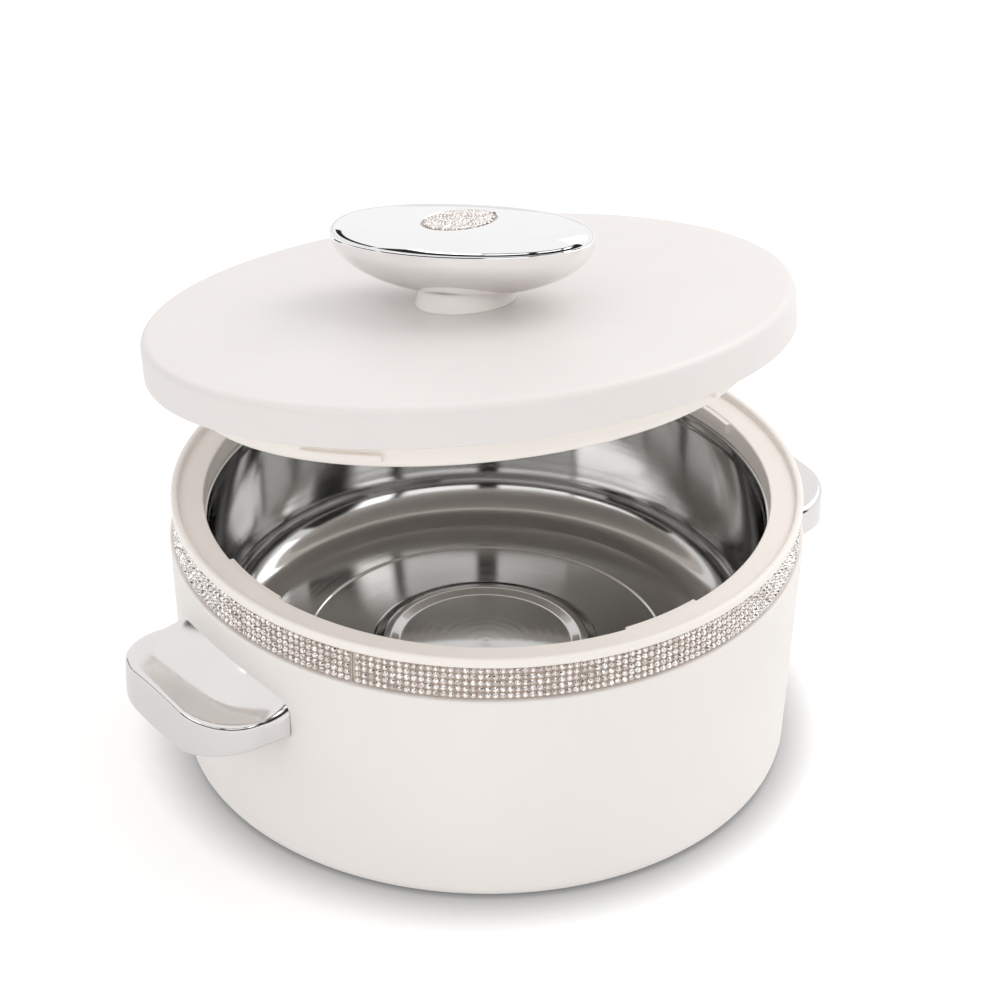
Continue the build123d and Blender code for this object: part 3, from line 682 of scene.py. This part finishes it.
collar_profile = rounded(
    [
        (lip_radius, lip_bottom, FINE_EDGE),
        (lip_radius, pot_height, LIP_ROUNDING),
        (lip_inner, pot_height, LIP_ROUNDING),
        (lip_inner, ledge_top, FINE_EDGE),
        (bore_radius, ledge_top, BORE_ROUNDING),
        (bore_radius, bore_bottom, FINE_EDGE),
        (bore_radius + LEDGE_WALL, bore_bottom, 0),
        (bore_radius + LEDGE_WALL, ledge_top - LEDGE_WALL, 0),
        (skirt_inner, ledge_top - LEDGE_WALL, 0),
        (skirt_inner, skirt_bottom, 0),
        (skirt_radius, skirt_bottom, 0),
        (skirt_radius, lip_bottom, 0),
    ]
)
tab_profile = rounded(
    [
        (bore_radius + LOCK_SINK, pot_height - TAB_TOP_DROP - TAB_HEIGHT, 0),
        (bore_radius - TAB_REACH, pot_height - TAB_TOP_DROP - TAB_HEIGHT, FINE_EDGE),
        (bore_radius - TAB_REACH, pot_height - TAB_TOP_DROP, FINE_EDGE),
        (bore_radius + LOCK_SINK, pot_height - TAB_TOP_DROP, 0),
    ],
    steps=LOCK_STEPS,
)
collar_forms = [lathe(collar_profile)]
for tab in range(TAB_COUNT):
    start = radians(TAB_AZIMUTH - TAB_SPAN / 2) + tau * tab / TAB_COUNT
    tab_form = lathe(tab_profile, start=start, span=radians(TAB_SPAN), segments=LOCK_SEGMENTS)
    collar_forms.append(tab_form)
add_piece("collar", collar_forms, inside_cream_painted_lighter, "pot", "rim_collar")

# Steel bowl
bowl_floor = pot_height - BOWL_DEPTH
bowl_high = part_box("inner_bowl")[1]
rim_radius = bore_radius - BOWL_SETBACK
wall_radius = rim_radius - RIM_BAND_STEP
bowl_profile = rounded(
    [
        (0, bowl_floor + BOWL_DISC_RISE, 0),
        (BOWL_DISC, bowl_floor + BOWL_DISC_RISE, BEAD_BLEND),
        (BEAD_INNER, bowl_floor + BEAD_RISE, BEAD_ROUNDING),
        (BEAD_OUTER, bowl_floor + BEAD_RISE, BEAD_ROUNDING),
        (BEAD_FOOT, bowl_floor, BEAD_BLEND),
        (STEP_RADIUS, bowl_floor, STEP_ROUNDING),
        (STEP_RADIUS + STEP_WIDTH, bowl_floor + STEP_RISE, STEP_ROUNDING),
        (wall_radius - BOWL_DRAFT, bowl_floor + STEP_RISE, BOWL_CORNER),
        (wall_radius, bore_bottom - RIM_BAND_LOW, RIM_BAND_ROUNDING),
        (rim_radius, bore_bottom - RIM_BAND_HIGH, RIM_BAND_ROUNDING),
        (rim_radius, bore_bottom, RIM_ROUNDING),
        (bowl_high.x, bore_bottom, 0),
    ],
    closed=False,
    steps=BOWL_STEPS,
)


def thickened(profile, sheet):
    """A closed profile: the given line and the same line set off to its right by the sheet's thickness."""
    outside = []
    for i, point in enumerate(profile):
        run = profile[min(i + 1, len(profile) - 1)] - profile[max(i - 1, 0)]
        run.normalize()
        outside.append(point + Vector((run.y, -run.x)) * sheet)
    # The line starts on the axis, and so does its copy
    outside[0].x = profile[0].x
    return profile + outside[::-1]


bowl_form = lathe(thickened(bowl_profile, BOWL_SHEET))
add_piece("bowl", [bowl_form], steel, "pot", "inner_bowl")

# Strip behind the stones
strip_low, strip_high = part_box("band_strip")
strip_radius = strip_high.x
seam_turn = radians(BAND_SEAM_AZIMUTH)
seam_half = BAND_SEAM_GAP / strip_radius / BAND_SEAM_PARTS
strip_profile = rounded(
    [
        (skirt_radius, strip_low.z, 0),
        (strip_radius, strip_low.z, 0),
        (strip_radius, strip_high.z, 0),
        (skirt_radius, strip_high.z, 0),
    ]
)
strip_form = lathe(strip_profile, start=seam_turn + seam_half, span=tau - 2 * seam_half)
add_piece("strip", [strip_form], strip_tan, "pot", "band_strip")


# Handles

handle_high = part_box("handle_right")[1]
handle_reach = handle_high.x
handle_half = handle_high.y
handle_rim = pot_height - HANDLE_RIM_DROP
handle_bottom = handle_rim - HANDLE_THICKNESS
handle_front_half = handle_half - HANDLE_CORNER


def ease(value):
    """A smooth step from 0 to 1."""
    value = min(1.0, max(0.0, value))
    return value * value * (3 - 2 * value)


def wall_at(side):
    """How far the pot's wall is from its axis plane, at a distance to the side and the rim's height."""
    return sqrt(shell_radius(handle_rim) ** 2 - side**2) + HANDLE_SEAM


def edge_at(side):
    """How far the handle's outline reaches, at a distance to the side."""
    past = max(0.0, min(HANDLE_CORNER, abs(side) - handle_front_half))
    return handle_reach - HANDLE_CORNER + sqrt(HANDLE_CORNER**2 - past**2)


def handle_station(share):
    """Point, outward normal and wall weight of the outline, at a share from -1 to 1 of its way round."""
    arc = HANDLE_CORNER * pi / 2
    side_run = handle_reach - HANDLE_CORNER - wall_at(handle_half)
    way = abs(share) * (handle_front_half + arc + side_run)
    sign = 1 if share >= 0 else -1
    if way <= handle_front_half:
        return Vector((handle_reach, sign * way)), Vector((1, 0)), 0.0
    if way <= handle_front_half + arc:
        turn = (way - handle_front_half) / HANDLE_CORNER
        normal = Vector((cos(turn), sign * sin(turn)))
        centre = Vector((handle_reach - HANDLE_CORNER, sign * handle_front_half))
        return centre + normal * HANDLE_CORNER, normal, 0.0
    along = way - handle_front_half - arc
    point = Vector((handle_reach - HANDLE_CORNER - along, sign * handle_half))
    return point, Vector((0, sign)), along / side_run


def inside_by(point):
    """How far a point lies inside the handle's outline."""
    across = Vector((point.x - handle_reach + HANDLE_CORNER, abs(point.y) - handle_front_half))
    outside = Vector((max(across.x, 0.0), max(across.y, 0.0))).length
    return HANDLE_CORNER - outside - min(max(across.x, across.y), 0.0)


def end_fade(side):
    """One in the middle of the handle, falling to nothing at its ends."""
    return max(0.0, 1 - (side / handle_half) ** 2)


def shelf_height(point):
    """Height of the scooped top: a ramp down from the wall, a shallow valley and a rise to the rim."""
    fade = end_fade(point.y)
    wall = wall_at(min(abs(point.y), handle_half))
    share = (point.x - wall) / (edge_at(point.y) - wall)
    share = min(1.0, max(0.0, share))
    at_wall = pot_height - HANDLE_WALL_END_DROP + (HANDLE_WALL_END_DROP - HANDLE_WALL_DROP) * fade
    valley = handle_rim - HANDLE_VALLEY * fade
    ramp = (at_wall - valley) * max(0.0, 1 - share / HANDLE_RAMP_END) ** HANDLE_RAMP_POWER
    risen = max(0.0, (share - HANDLE_RISE_START) / (1 - HANDLE_RISE_START)) ** HANDLE_RISE_POWER
    return valley + ramp + (HANDLE_ARCH * fade + handle_rim - valley) * risen


def handle_form(mirror):
    """Corners and faces of a handle; mirror is 1 for the right one and -1 for the left one."""
    rows = []
    for k in range(HANDLE_STATIONS + 1):
        share = (2 * k / HANDLE_STATIONS - 1) * (1 - HANDLE_END_SHARE)
        point, normal, weight = handle_station(share)
        from_wall = point.x - wall_at(min(abs(point.y), handle_half))
        roll = HANDLE_RIM_ROUND + (HANDLE_END_ROUND - HANDLE_RIM_ROUND) * ease(1 - from_wall / HANDLE_END_RUN)
        start = Vector((from_wall, point.y))
        focus = Vector((-HANDLE_FOCUS_SINK, HANDLE_FOCUS_SHARE * handle_half * share))

        def on_ray(way):
            """A point of the top, at a share of the way from the outline to the focus in the wall."""
            flat = start + (focus - start) * way
            return Vector((flat.x + wall_at(min(abs(flat.y), handle_half)), flat.y))

        row = []
        face_low = handle_bottom - HANDLE_BELLY * end_fade(point.y)
        plate = point - normal * HANDLE_PLATE_INSET
        plate.x += (wall_at(plate.y) - wall_at(point.y)) * weight
        row.append((plate.x, plate.y, handle_bottom + HANDLE_PLATE_RECESS))
        row.append((plate.x, plate.y, face_low))
        for step in range(HANDLE_FOOT_STEPS + 1):
            turn = pi / 2 * (1 - step / HANDLE_FOOT_STEPS)
            inset = point - normal * HANDLE_BOTTOM_ROUND * (1 - cos(turn))
            inset.x += (wall_at(inset.y) - wall_at(point.y)) * weight
            row.append((inset.x, inset.y, face_low + HANDLE_BOTTOM_ROUND * (1 - sin(turn))))
        face_top = shelf_height(point) - roll
        face_foot = face_low + HANDLE_BOTTOM_ROUND
        for step in range(1, HANDLE_FACE_STEPS):
            height = face_foot + (face_top - face_foot) * step / HANDLE_FACE_STEPS
            row.append((point.x, point.y, height))
        for step in range(HANDLE_ROLL_STEPS + 1):
            turn = pi / 2 * step / HANDLE_ROLL_STEPS
            depth = roll * (1 - cos(turn))
            # Halve the ray until its end lies this deep inside the outline
            low, high = 0.0, HANDLE_RAY_LIMIT
            for _ in range(HANDLE_HALVINGS):
                middle = (low + high) / 2
                if inside_by(on_ray(middle)) < depth:
                    low = middle
                else:
                    high = middle
            spot = on_ray(low)
            row.append((spot.x, spot.y, shelf_height(spot) - roll * (1 - sin(turn))))
        for step in range(1, HANDLE_TOP_STEPS + 1):
            spot = on_ray(low + (1 - low) * step / HANDLE_TOP_STEPS)
            row.append((spot.x, spot.y, shelf_height(spot)))
        rows.append(row)
    count = len(rows[0])
    corners = [Vector((mirror * x, y, z)) for row in rows for x, y, z in row]
    faces = []
    for k in range(HANDLE_STATIONS):
        for i in range(count - 1):
            here = k * count + i
            faces.append((here, here + 1, here + count + 1, here + count))
    return corners, faces


for name, replaced, mirror in (
    ("handle_shelf_right", "handle_right", 1),
    ("handle_shelf_left", "handle_left", -1),
):
    form = handle_form(mirror)
    add_piece(name, [form], satin_chrome, "pot", replaced, HANDLE_SMOOTH_ANGLE)


# Lid

lift = joints["lid_lift"]
tilt = Matrix.Rotation(radians(-lift["range_deg"][0]), 3, Vector(lift["axis"]))
lid_right = tilt @ Vector((1, 0, 0))
lid_back = tilt @ Vector((0, 1, 0))
lid_up = tilt @ Vector((0, 0, 1))
lid_centre = Vector(joints["lid_turn"]["pos_m"])
lid_place = Matrix((lid_right, lid_back, lid_up)).transposed().to_4x4()
lid_place.translation = lid_centre
cover_points = nodes["lid_cover"].data.vertices
lid_radius = max(
    abs((cover_points[i].co - lid_centre).dot(lid_right))
    for i in range(0, len(cover_points), COVER_STRIDE)
)
lid_inner = lid_radius - LID_WALL
plug_radius = bore_radius - PLUG_GAP
lug_radius = plug_radius + LUG_REACH


def crown_height(radius):
    """Height of the lid's crowned top at a radius."""
    return LID_CROWN - (LID_CROWN - LID_SIDE) * (radius / lid_radius) ** 2


pad_height = crown_height(LID_PAD_RADIUS)
crown_end = lid_radius - LID_CROWN_END
crown_line = []
for step in range(LID_CROWN_STEPS + 1):
    radius = LID_PAD_RADIUS + (crown_end - LID_PAD_RADIUS) * step / LID_CROWN_STEPS
    crown_line.append((radius, crown_height(radius), 0))
cover_profile = rounded(
    [(0, pad_height, 0)]
    + crown_line
    + [
        (lid_radius, LID_SIDE, LID_EDGE),
        (lid_radius, 0, LID_LOW_EDGE),
        (lid_inner, 0, 0),
        (lid_inner, LID_SIDE - LID_WALL, LID_EDGE - LID_WALL),
        (0, LID_CROWN - LID_WALL, 0),
    ],
    steps=FINE_STEPS,
)
add_piece("cover", [lathe(cover_profile, place=lid_place)], lid_cream_painted_darker, "lid", "lid_cover")

liner_profile = rounded(
    [
        (0, -PLUG_DEPTH, 0),
        (plug_radius, -PLUG_DEPTH, PLUG_EDGE),
        (plug_radius, 0, FINE_EDGE),
        (lid_inner - LINER_GAP, 0, 0),
        (lid_inner - LINER_GAP, LINER_FLANGE, 0),
        (plug_radius - PLUG_WALL, LINER_FLANGE, 0),
        (plug_radius - PLUG_WALL, PLUG_WALL - PLUG_DEPTH, 0),
        (0, PLUG_WALL - PLUG_DEPTH, 0),
    ]
)
lug_profile = rounded(
    [
        (plug_radius - LOCK_SINK, LUG_TOP - LUG_HEIGHT, 0),
        (lug_radius, LUG_TOP - LUG_HEIGHT, FINE_EDGE),
        (lug_radius, LUG_TOP, FINE_EDGE),
        (plug_radius - LOCK_SINK, LUG_TOP, 0),
    ],
    steps=LOCK_STEPS,
)
liner_forms = [lathe(liner_profile, place=lid_place)]
for lug in range(LUG_COUNT):
    start = radians(LUG_AZIMUTH - LUG_SPAN / 2) + tau * lug / LUG_COUNT
    lug_form = lathe(
        lug_profile, start=start, span=radians(LUG_SPAN), segments=LOCK_SEGMENTS, place=lid_place
    )
    liner_forms.append(lug_form)
add_piece("liner", liner_forms, inside_cream_painted_lighter, "lid", "lid_liner")

stem_profile = rounded(
    [
        (0, pad_height, 0),
        (KNOB_STEM_RADIUS, pad_height, FINE_EDGE),
        (KNOB_STEM_TOP_RADIUS, KNOB_STEM_TOP, KNOB_STEM_ROUNDING),
        (0, KNOB_STEM_TOP, 0),
    ]
)
stem_form = lathe(stem_profile, segments=STEM_SEGMENTS, place=lid_place)
add_piece("stem", [stem_form], cream, "lid", "knob_stem")

# Knob
knob_place = lid_place @ Matrix.Rotation(radians(KNOB_AZIMUTH), 4, "Z")


def oval_form(rings):
    """Corners and faces of a closed skin over level ovals, each (half length, half width, height)."""
    corners = []
    for half_length, half_width, height in rings:
        for i in range(KNOB_SIDES):
            turn = tau * i / KNOB_SIDES
            corners.append(knob_place @ Vector((half_length * cos(turn), half_width * sin(turn), height)))
    faces = ring_faces(len(rings), KNOB_SIDES)
    faces.append(tuple(reversed(range(KNOB_SIDES))))
    faces.append(tuple((len(rings) - 1) * KNOB_SIDES + i for i in range(KNOB_SIDES)))
    return corners, faces


# The hull ends and the crown begins in the groove between them
groove_ring = (KNOB_HALF_LENGTH - KNOB_GROOVE, KNOB_HALF_WIDTH - KNOB_GROOVE, KNOB_LEVEL)
hull_rings = []
for step in range(KNOB_HULL_STEPS + 1):
    turn = radians(KNOB_HULL_END) * (1 - step / KNOB_HULL_STEPS)
    height = KNOB_LEVEL - KNOB_GROOVE - (KNOB_HULL_DEPTH - KNOB_GROOVE) * sin(turn)
    hull_rings.append((KNOB_HALF_LENGTH * cos(turn), KNOB_HALF_WIDTH * cos(turn), height))
hull_rings.append(groove_ring)
hull_form = oval_form(hull_rings)
add_piece("knob_hull", [hull_form], chrome, "lid", "knob_body", KNOB_SMOOTH_ANGLE)

crown_rings = [groove_ring]
for step in range(KNOB_EDGE_STEPS + 1):
    turn = radians(KNOB_EDGE_END) * step / KNOB_EDGE_STEPS
    shrink = KNOB_EDGE_WIDTH * (1 - cos(turn))
    height = KNOB_LEVEL + KNOB_GROOVE + (KNOB_EDGE_HEIGHT - KNOB_GROOVE) * sin(turn)
    crown_rings.append((KNOB_HALF_LENGTH - shrink, KNOB_HALF_WIDTH - shrink, height))
knob_top = KNOB_LEVEL + KNOB_CROWN_RISE
rim_length, rim_width, rim_height = crown_rings[-1]
for step in range(1, KNOB_TOP_STEPS + 1):
    share = step / KNOB_TOP_STEPS
    half_length = rim_length + (INSET_RADIUS + INSET_EDGE - rim_length) * share
    half_width = rim_width + (INSET_RADIUS + INSET_EDGE - rim_width) * share
    crown_rings.append((half_length, half_width, rim_height + (knob_top - rim_height) * sin(share * pi / 2)))
crown_rings.append((INSET_RADIUS, INSET_RADIUS, knob_top - INSET_EDGE))
crown_rings.append((INSET_RADIUS, INSET_RADIUS, knob_top - INSET_RECESS))
crown_form = oval_form(crown_rings)
add_piece("knob_crown", [crown_form], chrome, "lid", "knob_top", KNOB_SMOOTH_ANGLE)


# Stones


def gem_points(radius, height):
    """Corners and facets of a round brilliant's crown: table, star, kite and girdle facets."""
    star = GEM_SIDES
    girdle = 2 * GEM_SIDES
    corners = ring_points(GEM_TABLE * radius, height, GEM_SIDES)
    corners += ring_points(GEM_STAR * radius, GEM_STAR_HEIGHT * height, GEM_SIDES, shift=0.5)
    corners += ring_points(radius, 0.0, girdle)
    facets = [tuple(range(GEM_SIDES))]
    for i in range(GEM_SIDES):
        after = (i + 1) % GEM_SIDES
        facets.append((i, star + i, after))
        facets.append((i, star + (i - 1) % GEM_SIDES, girdle + 2 * i, star + i))
        facets.append((star + i, girdle + 2 * i, girdle + 2 * i + 1))
        facets.append((star + i, girdle + 2 * i + 1, girdle + 2 * after))
    return corners, facets


def cup_points(radius, low, high, lip):
    """Corners and faces of the small cup round a stone."""
    rings = (
        (radius + lip, low),
        (radius + lip, high - lip),
        (radius + CUP_LIP_TOP * lip, high),
        (radius - lip, high),
    )
    corners = []
    for ring_radius, height in rings:
        corners += ring_points(ring_radius, height, CUP_SIDES)
    return corners, ring_faces(len(rings), CUP_SIDES)


def add_stones(name, places, radius, height, tilt, body, replaced):
    """Cut stones in cups at the places given as matrices, as one mesh with a tone for each facet."""
    gem_corners, gem_facets = gem_points(radius, height)
    cup_corners, cup_faces = cup_points(radius, CUP_LOW * height, CUP_HIGH * height, CUP_LIP * radius)
    corners, faces, slots, tones = [], [], [], []
    for place in places:
        turn = Matrix.Rotation(CHANCE.uniform(0, tau), 4, "Z")
        lean = CHANCE.uniform(0, tau)
        tilted = Matrix.Rotation(radians(CHANCE.gauss(0, tilt)), 4, Vector((cos(lean), sin(lean), 0)))
        tone = CHANCE.gauss(GEM_TONE, GEM_TONE_SPREAD)
        first = len(corners)
        spin = place @ tilted @ turn
        corners += [spin @ Vector(c) for c in gem_corners]
        faces += [tuple(first + i for i in facet) for facet in gem_facets]
        slots += [0] * len(gem_facets)
        tones += [min(1.0, max(0.0, tone + CHANCE.gauss(0, FACET_TONE_SPREAD))) for facet in gem_facets]
        first = len(corners)
        corners += [place @ Vector(c) for c in cup_corners]
        faces += [tuple(first + i for i in face) for face in cup_faces]
        slots += [1] * len(cup_faces)
        tones += [CUP_TONE] * len(cup_faces)
    mesh = bpy.data.meshes.new(name)
    mesh.from_pydata(corners, [], faces)
    mesh.materials.append(stone_glass)
    mesh.materials.append(cup_silver)
    mesh.polygons.foreach_set("material_index", slots)
    attribute = mesh.attributes.new("tone", "FLOAT", "FACE")
    attribute.data.foreach_set("value", tones)
    mesh.update()
    piece = bpy.data.objects.new(name, mesh)
    bpy.context.scene.collection.objects.link(piece)
    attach(piece, body)
    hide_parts(replaced)


band_places = []
columns = round((tau * strip_radius - BAND_SEAM_GAP) / BAND_PITCH)
gap_turn = BAND_SEAM_GAP / strip_radius
column_turn = (tau - gap_turn) / columns
stone_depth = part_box("band_stones")[1].x - strip_radius
for row in range(BAND_ROWS):
    height = strip_high.z - BAND_TOP_MARGIN - BAND_PITCH * (row + 0.5)
    for column in range(columns):
        turn = seam_turn + gap_turn / 2 + column_turn * (column + 0.5)
        outward = Vector((cos(turn), sin(turn), 0))
        across = Vector((-sin(turn), cos(turn), 0))
        place = Matrix((across, Vector((0, 0, 1)), outward)).transposed().to_4x4()
        place.translation = outward * (strip_radius + BAND_GEM_SINK * stone_depth) + Vector((0, 0, height))
        band_places.append(place)
band_gem_radius = BAND_GEM_RADIUS * BAND_PITCH
band_gem_height = BAND_GEM_HEIGHT * stone_depth
add_stones("band_gems", band_places, band_gem_radius, band_gem_height, GEM_TILT, "pot", "band_stones")

knob_gem_places = []
gem_area = pi * KNOB_GEM_FIELD**2 / KNOB_GEMS
knob_gem_radius = KNOB_GEM_RADIUS * sqrt(gem_area)
golden_turn = pi * (3 - sqrt(5))
gem_floor = knob_top - INSET_RECESS + KNOB_GEM_FLOOR
for i in range(KNOB_GEMS):
    out = (KNOB_GEM_FIELD - knob_gem_radius) * sqrt((i + 0.5) / KNOB_GEMS)
    turn = golden_turn * i
    spot = Matrix.Translation((out * cos(turn), out * sin(turn), gem_floor + KNOB_GEM_LIFT))
    knob_gem_places.append(knob_place @ spot)
add_stones(
    "knob_gems", knob_gem_places, knob_gem_radius, KNOB_GEM_HEIGHT, KNOB_GEM_TILT, "lid", "knob_stones"
)


# Floor


def floor_material():
    """A matt white floor that stays white to the camera outside the shadow; to the camera alone its colour
    carries a painted contact shadow, darkened by ambient occlusion near the pot.
    """
    material, tree, shader = new_material("studio_floor")
    grain = spread(tree, noise(tree, FLOOR_GRAIN, detail=3.0), 0.0, 1.0)
    paper = blend_colours(tree, grain, FLOOR_DARK, FLOOR_LIGHT)
    # Painted contact shadow: for camera rays the floor's colour is multiplied by the ambient occlusion round
    # the pot, raised to a power
    corner = tree.nodes.new("ShaderNodeAmbientOcclusion")
    corner.inputs["Distance"].default_value = SHADOW_REACH
    depth = arithmetic(tree, "POWER", corner.outputs["AO"], SHADOW_DEPTH)
    shade = tree.nodes.new("ShaderNodeMix")
    shade.data_type = "RGBA"
    shade.blend_type = "MULTIPLY"
    shade.inputs["Factor"].default_value = 1.0
    tree.links.new(paper, shade.inputs["A"])
    tree.links.new(blend_colours(tree, depth, BLACK, WHITE), shade.inputs["B"])
    path = tree.nodes.new("ShaderNodeLightPath")
    shown = tree.nodes.new("ShaderNodeMix")
    shown.data_type = "RGBA"
    tree.links.new(path.outputs["Is Camera Ray"], shown.inputs["Factor"])
    tree.links.new(paper, shown.inputs["A"])
    tree.links.new(shade.outputs["Result"], shown.inputs["B"])
    tree.links.new(shown.outputs["Result"], shader.inputs["Base Color"])
    shader.inputs["Roughness"].default_value = FLOOR_ROUGHNESS
    shader.inputs["Specular IOR Level"].default_value = 0.0
    shader.inputs["Emission Color"].default_value = (*WHITE, 1)
    seen = spread(tree, path.outputs["Is Camera Ray"], 0.0, FLOOR_LIFT, 0.0, 1.0)
    tree.links.new(seen, shader.inputs["Emission Strength"])
    return material


bm = bmesh.new()
for x, y in ((-1, -1), (1, -1), (1, 1), (-1, 1)):
    bm.verts.new((x * FLOOR_HALF, y * FLOOR_HALF, 0.0))
bm.faces.new(bm.verts)
floor_mesh = bpy.data.meshes.new("floor")
bm.to_mesh(floor_mesh)
bm.free()
floor_mesh.materials.append(floor_material())
floor = bpy.data.objects.new("floor", floor_mesh)
bpy.context.scene.collection.objects.link(floor)

# Camera
turn = radians(VIEW_AZIMUTH)
rise = radians(VIEW_ELEVATION)
view_back = Vector((sin(turn) * cos(rise), -cos(turn) * cos(rise), sin(rise)))
view_right = Vector((cos(turn), sin(turn), 0))
view_up = view_back.cross(view_right)
roll = radians(VIEW_ROLL)
camera_right = view_right * cos(roll) + view_up * sin(roll)
camera_up = view_up * cos(roll) - view_right * sin(roll)
camera_data = bpy.data.cameras.new("camera")
camera_data.lens = VIEW_LENS
camera_data.sensor_width = VIEW_SENSOR
camera_data.clip_start = VIEW_NEAR
camera_data.clip_end = VIEW_FAR
camera = bpy.data.objects.new("camera", camera_data)
stand = Vector((0, 0, pot_height)) + view_back * VIEW_DISTANCE
stand += view_right * VIEW_SHIFT_RIGHT + view_up * VIEW_SHIFT_UP
axes = Matrix((camera_right, camera_up, view_back)).transposed().to_4x4()
camera.matrix_world = Matrix.Translation(stand) @ axes
bpy.context.scene.collection.objects.link(camera)
bpy.context.scene.camera = camera


# Lights


def soft_lamp(name, place, aim, width, power, mirrored):
    """A square soft box that faces a point; mirrored says whether reflections show it."""
    data = bpy.data.lights.new(name, "AREA")
    data.shape = "SQUARE"
    data.size = width
    data.energy = power
    lamp = bpy.data.objects.new(name, data)
    lamp.location = place
    lamp.rotation_mode = "QUATERNION"
    lamp.rotation_quaternion = (place - aim).to_track_quat("Z", "Y")
    lamp.visible_glossy = mirrored
    bpy.context.scene.collection.objects.link(lamp)


heart = Vector((0, 0, HEART_HEIGHT))
front = Vector((view_back.x, view_back.y, 0)).normalized()
above = Vector((0, 0, 1))
for name, width, power, mirrored, to_right, to_front, up in LAMPS:
    lamp_place = heart + view_right * to_right + front * to_front + above * up
    soft_lamp(name, lamp_place, heart, width, power, mirrored)

world = bpy.data.worlds.new("studio")
bpy.context.scene.world = world
world.use_nodes = True
tree = world.node_tree
tree.nodes.clear()
out = tree.nodes.new("ShaderNodeOutputWorld")
path = tree.nodes.new("ShaderNodeLightPath")
place = tree.nodes.new("ShaderNodeTexCoord")


def background(colour):
    """A Background node of the world, its colour a tuple or a socket."""
    node = tree.nodes.new("ShaderNodeBackground")
    node.inputs["Strength"].default_value = 1.0
    if isinstance(colour, tuple):
        node.inputs["Color"].default_value = (*colour, 1)
    else:
        tree.links.new(colour, node.inputs["Color"])
    return node.outputs["Background"]


def along(direction):
    """How far the looked-at direction of the world points along a direction."""
    node = tree.nodes.new("ShaderNodeVectorMath")
    node.operation = "DOT_PRODUCT"
    node.inputs[1].default_value = direction
    tree.links.new(place.outputs["Generated"], node.inputs[0])
    return node.outputs["Value"]


def mix_shaders(share, first, second):
    """A mix of two backgrounds."""
    node = tree.nodes.new("ShaderNodeMixShader")
    tree.links.new(share, node.inputs["Fac"])
    tree.links.new(first, node.inputs[1])
    tree.links.new(second, node.inputs[2])
    return node.outputs["Shader"]


ahead_share = along(front)
up_share = along(above)
right_share = along(view_right)


def band(value, low, high, soft):
    """One between two values, falling smoothly to nothing outside them."""
    return arithmetic(
        tree,
        "MULTIPLY",
        spread(tree, value, 0.0, 1.0, low - soft, low, True),
        spread(tree, value, 1.0, 0.0, high, high + soft, True),
    )


# The unlit end of the studio round the camera
unlit = arithmetic(
    tree,
    "MULTIPLY",
    spread(tree, ahead_share, 0.0, 1.0, UNLIT_BACK, UNLIT_BACK + SOFT_EDGE, True),
    band(up_share, UNLIT_LOW, UNLIT_HIGH, SOFT_EDGE),
)
# A dark screen low at the left, behind the pot
screen = arithmetic(
    tree,
    "MULTIPLY",
    arithmetic(
        tree,
        "MULTIPLY",
        spread(tree, right_share, 1.0, 0.0, -SCREEN_SIDE - SOFT_EDGE, -SCREEN_SIDE, True),
        spread(tree, ahead_share, 1.0, 0.0, 0.0, SOFT_EDGE, True),
    ),
    band(up_share, UNLIT_LOW, SCREEN_HIGH, SOFT_EDGE),
)
around = spread(tree, arithmetic(tree, "MAXIMUM", unlit, screen), 1.0, UNLIT, 0.0, 1.0)
# In the unlit end, a wide soft box on each side of the camera and a narrower one further out
facing = spread(tree, ahead_share, 0.0, 1.0, 0.0, SOFT_EDGE, True)
level = around
for left_end, right_end, low, high, strength in LAMPS_SEEN:
    shape = arithmetic(
        tree,
        "MULTIPLY",
        band(right_share, left_end, right_end, BOX_SOFTNESS),
        band(up_share, low, high, BOX_SOFTNESS),
    )
    shape = arithmetic(tree, "MULTIPLY", shape, facing)
    level = arithmetic(tree, "MAXIMUM", level, arithmetic(tree, "MULTIPLY", shape, strength))
# Diffuse light comes more from the sides than from above, and more from behind than from the front
ambient = arithmetic(
    tree,
    "MULTIPLY",
    spread(tree, up_share, AMBIENT_SIDE, AMBIENT_TOP, AMBIENT_SIDE_END, AMBIENT_TOP_START),
    spread(tree, ahead_share, AMBIENT_BACK, AMBIENT_FRONT, -1.0, 1.0),
)
reflected = arithmetic(
    tree, "MAXIMUM", path.outputs["Is Glossy Ray"], path.outputs["Is Transmission Ray"]
)
lighting = mix_shaders(reflected, background(ambient), background(level))
shown = mix_shaders(path.outputs["Is Camera Ray"], lighting, background(WHITE))
tree.links.new(shown, out.inputs["Surface"])

bpy.context.scene.view_settings.view_transform = "Standard"
